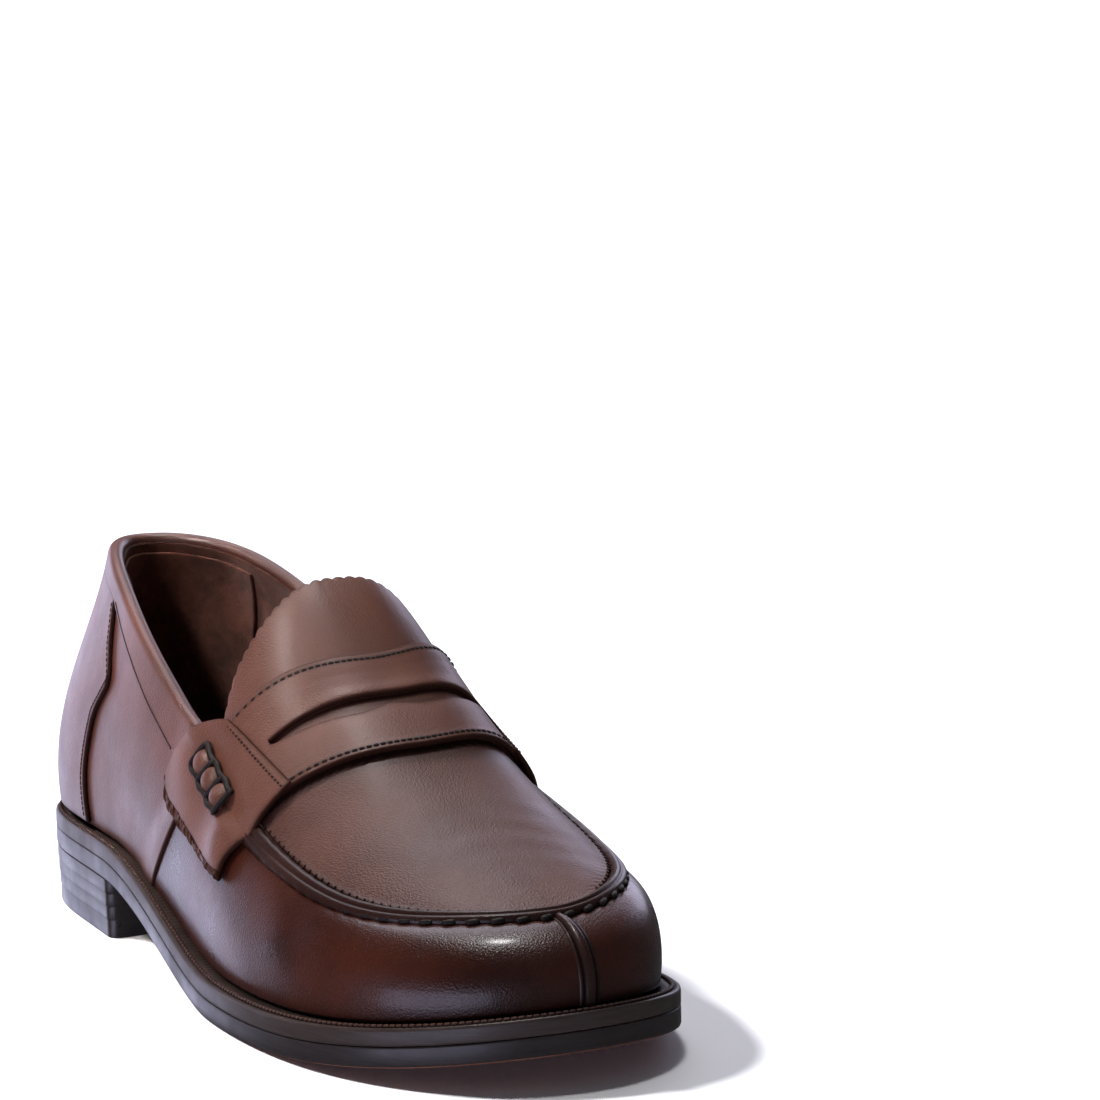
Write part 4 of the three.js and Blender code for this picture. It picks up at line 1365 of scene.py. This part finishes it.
# Name, azimuth, elevation, distance, (width, height), power, colour; then aim and spread where they differ.
LAMPS = (
    ("toe_spot", -123, 82, 1.3, (0.14, 0.14), 6.0, (1, 0.99, 0.98)),
    ("top_box", -112, 64, 1.5, (0.8, 0.5), 1.8, (0.95, 0.94, 1)),
    ("back_box", -112, 44, 1.7, (0.8, 0.6), 4.4, (0.88, 0.86, 1)),
    ("rear_panel", -140, 16, 1.8, (0.8, 0.5), 4, (0.78, 0.76, 1)),
    ("left_panel", -86, -2, 1.2, (0.66, 0.8), 3.8, (0.72, 0.73, 1)),
    ("front_panel", 26, -6, 1.6, (2.0, 0.7), 13, (0.74, 0.72, 1)),
    ("collar_spot", -8, 56, 0.9, (0.12, 0.12), 0.115, (1, 0.95, 0.92), COLLAR_INSIDE, 18),
)


def direction(azimuth, elevation):
    a, e = math.radians(azimuth), math.radians(elevation)
    return np.array([math.sin(a) * math.cos(e), -math.cos(a) * math.cos(e), math.sin(e)])


def build_camera():
    """Camera fitted to the view in the photo."""
    data = bpy.data.cameras.new("camera")
    data.sensor_width = SENSOR_WIDTH
    data.lens = CAMERA_LENS
    camera = bpy.data.objects.new("camera", data)
    back = direction(*CAMERA_AIM[:2])
    azimuth = math.radians(CAMERA_AIM[0])
    right = np.array([math.cos(azimuth), math.sin(azimuth), 0])
    up = np.cross(back, right)
    roll = math.radians(CAMERA_AIM[2])
    x = math.cos(roll) * right + math.sin(roll) * up
    y = -math.sin(roll) * right + math.cos(roll) * up
    place = direction(*CAMERA_FROM) * CAMERA_DISTANCE + CAMERA_TARGET
    camera.matrix_world = axes_matrix(x, y, back, place)
    bpy.context.scene.collection.objects.link(camera)
    bpy.context.scene.camera = camera


def axes_matrix(right, up, back, place=(0, 0, 0)):
    """World matrix of a camera or lamp from its own three axes."""
    turn = Matrix(np.column_stack([right, up, back]).tolist()).to_4x4()
    return Matrix.Translation([float(value) for value in place]) @ turn


def build_lamp(data, azimuth, elevation, distance=0.0, aim=(0, 0, 0)):
    """Lamp seen from its aim at an azimuth, elevation and distance, pointing back at the aim."""
    lamp = bpy.data.objects.new(data.name, data)
    back = direction(azimuth, elevation)
    right = unit(np.cross(UP, back))
    lamp.matrix_world = axes_matrix(right, np.cross(back, right), back, back * distance + np.array(aim))
    bpy.context.scene.collection.objects.link(lamp)
    return lamp


def build_light(name, azimuth, elevation, distance, size, power, color, aim=SHOE_MIDDLE, spread=180):
    data = bpy.data.lights.new(name, "AREA")
    data.spread = math.radians(spread)
    data.shape = "RECTANGLE"
    data.size, data.size_y = size
    data.energy = power
    data.color = color
    build_lamp(data, azimuth, elevation, distance, aim)


def build_sun(azimuth, elevation, strength, softness):
    data = bpy.data.lights.new("sun", "SUN")
    data.energy = strength
    data.angle = math.radians(softness)
    build_lamp(data, azimuth, elevation).visible_glossy = False


def build_stage():
    """Paper floor, dim world and all lights."""
    made = Nodes("floor_paper")
    made.color(made.ramp(made.noise(6, 3), [(0.0, (0.91, 0.91, 0.95)), (1.0, (0.94, 0.94, 0.97))]))
    made.set(Roughness=0.7, Specular_IOR_Level=0.2)
    mesh = bpy.data.meshes.new("floor")
    corners = [(x * FLOOR_REACH, y * FLOOR_REACH, 0) for x, y in ((-1, -1), (1, -1), (1, 1), (-1, 1))]
    mesh.from_pydata(corners, [], [(0, 1, 2, 3)])
    mesh.materials.append(made.material)
    floor = bpy.data.objects.new("floor", mesh)
    bpy.context.scene.collection.objects.link(floor)
    floor.visible_glossy = False
    floor.visible_shadow = False

    world = bpy.data.worlds.new("studio")
    world.use_nodes = True
    background = world.node_tree.nodes["Background"]
    background.inputs["Color"].default_value = WORLD_COLOR
    background.inputs["Strength"].default_value = WORLD_STRENGTH
    bpy.context.scene.world = world
    bpy.context.scene.view_settings.view_transform = "Standard"
    build_sun(*SUN)
    for lamp in LAMPS:
        build_light(*lamp)


build_camera()
build_stage()
build_outsole()
build_welt()
build_sock()
build_heel()
build_vamp()
build_quarters()
build_backstay()
build_collar()
build_quarter_linings()
build_heel_grip()
build_front_linings()
build_apron()
build_apron_ridge()
build_apron_stitches()
build_toe_strip()
build_strap()
build_underlay()
build_strap_stitches()
build_flaps()
for piece in (build_tongue(), build_tongue_lining()):
    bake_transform(piece)
dress_kept_nodes()
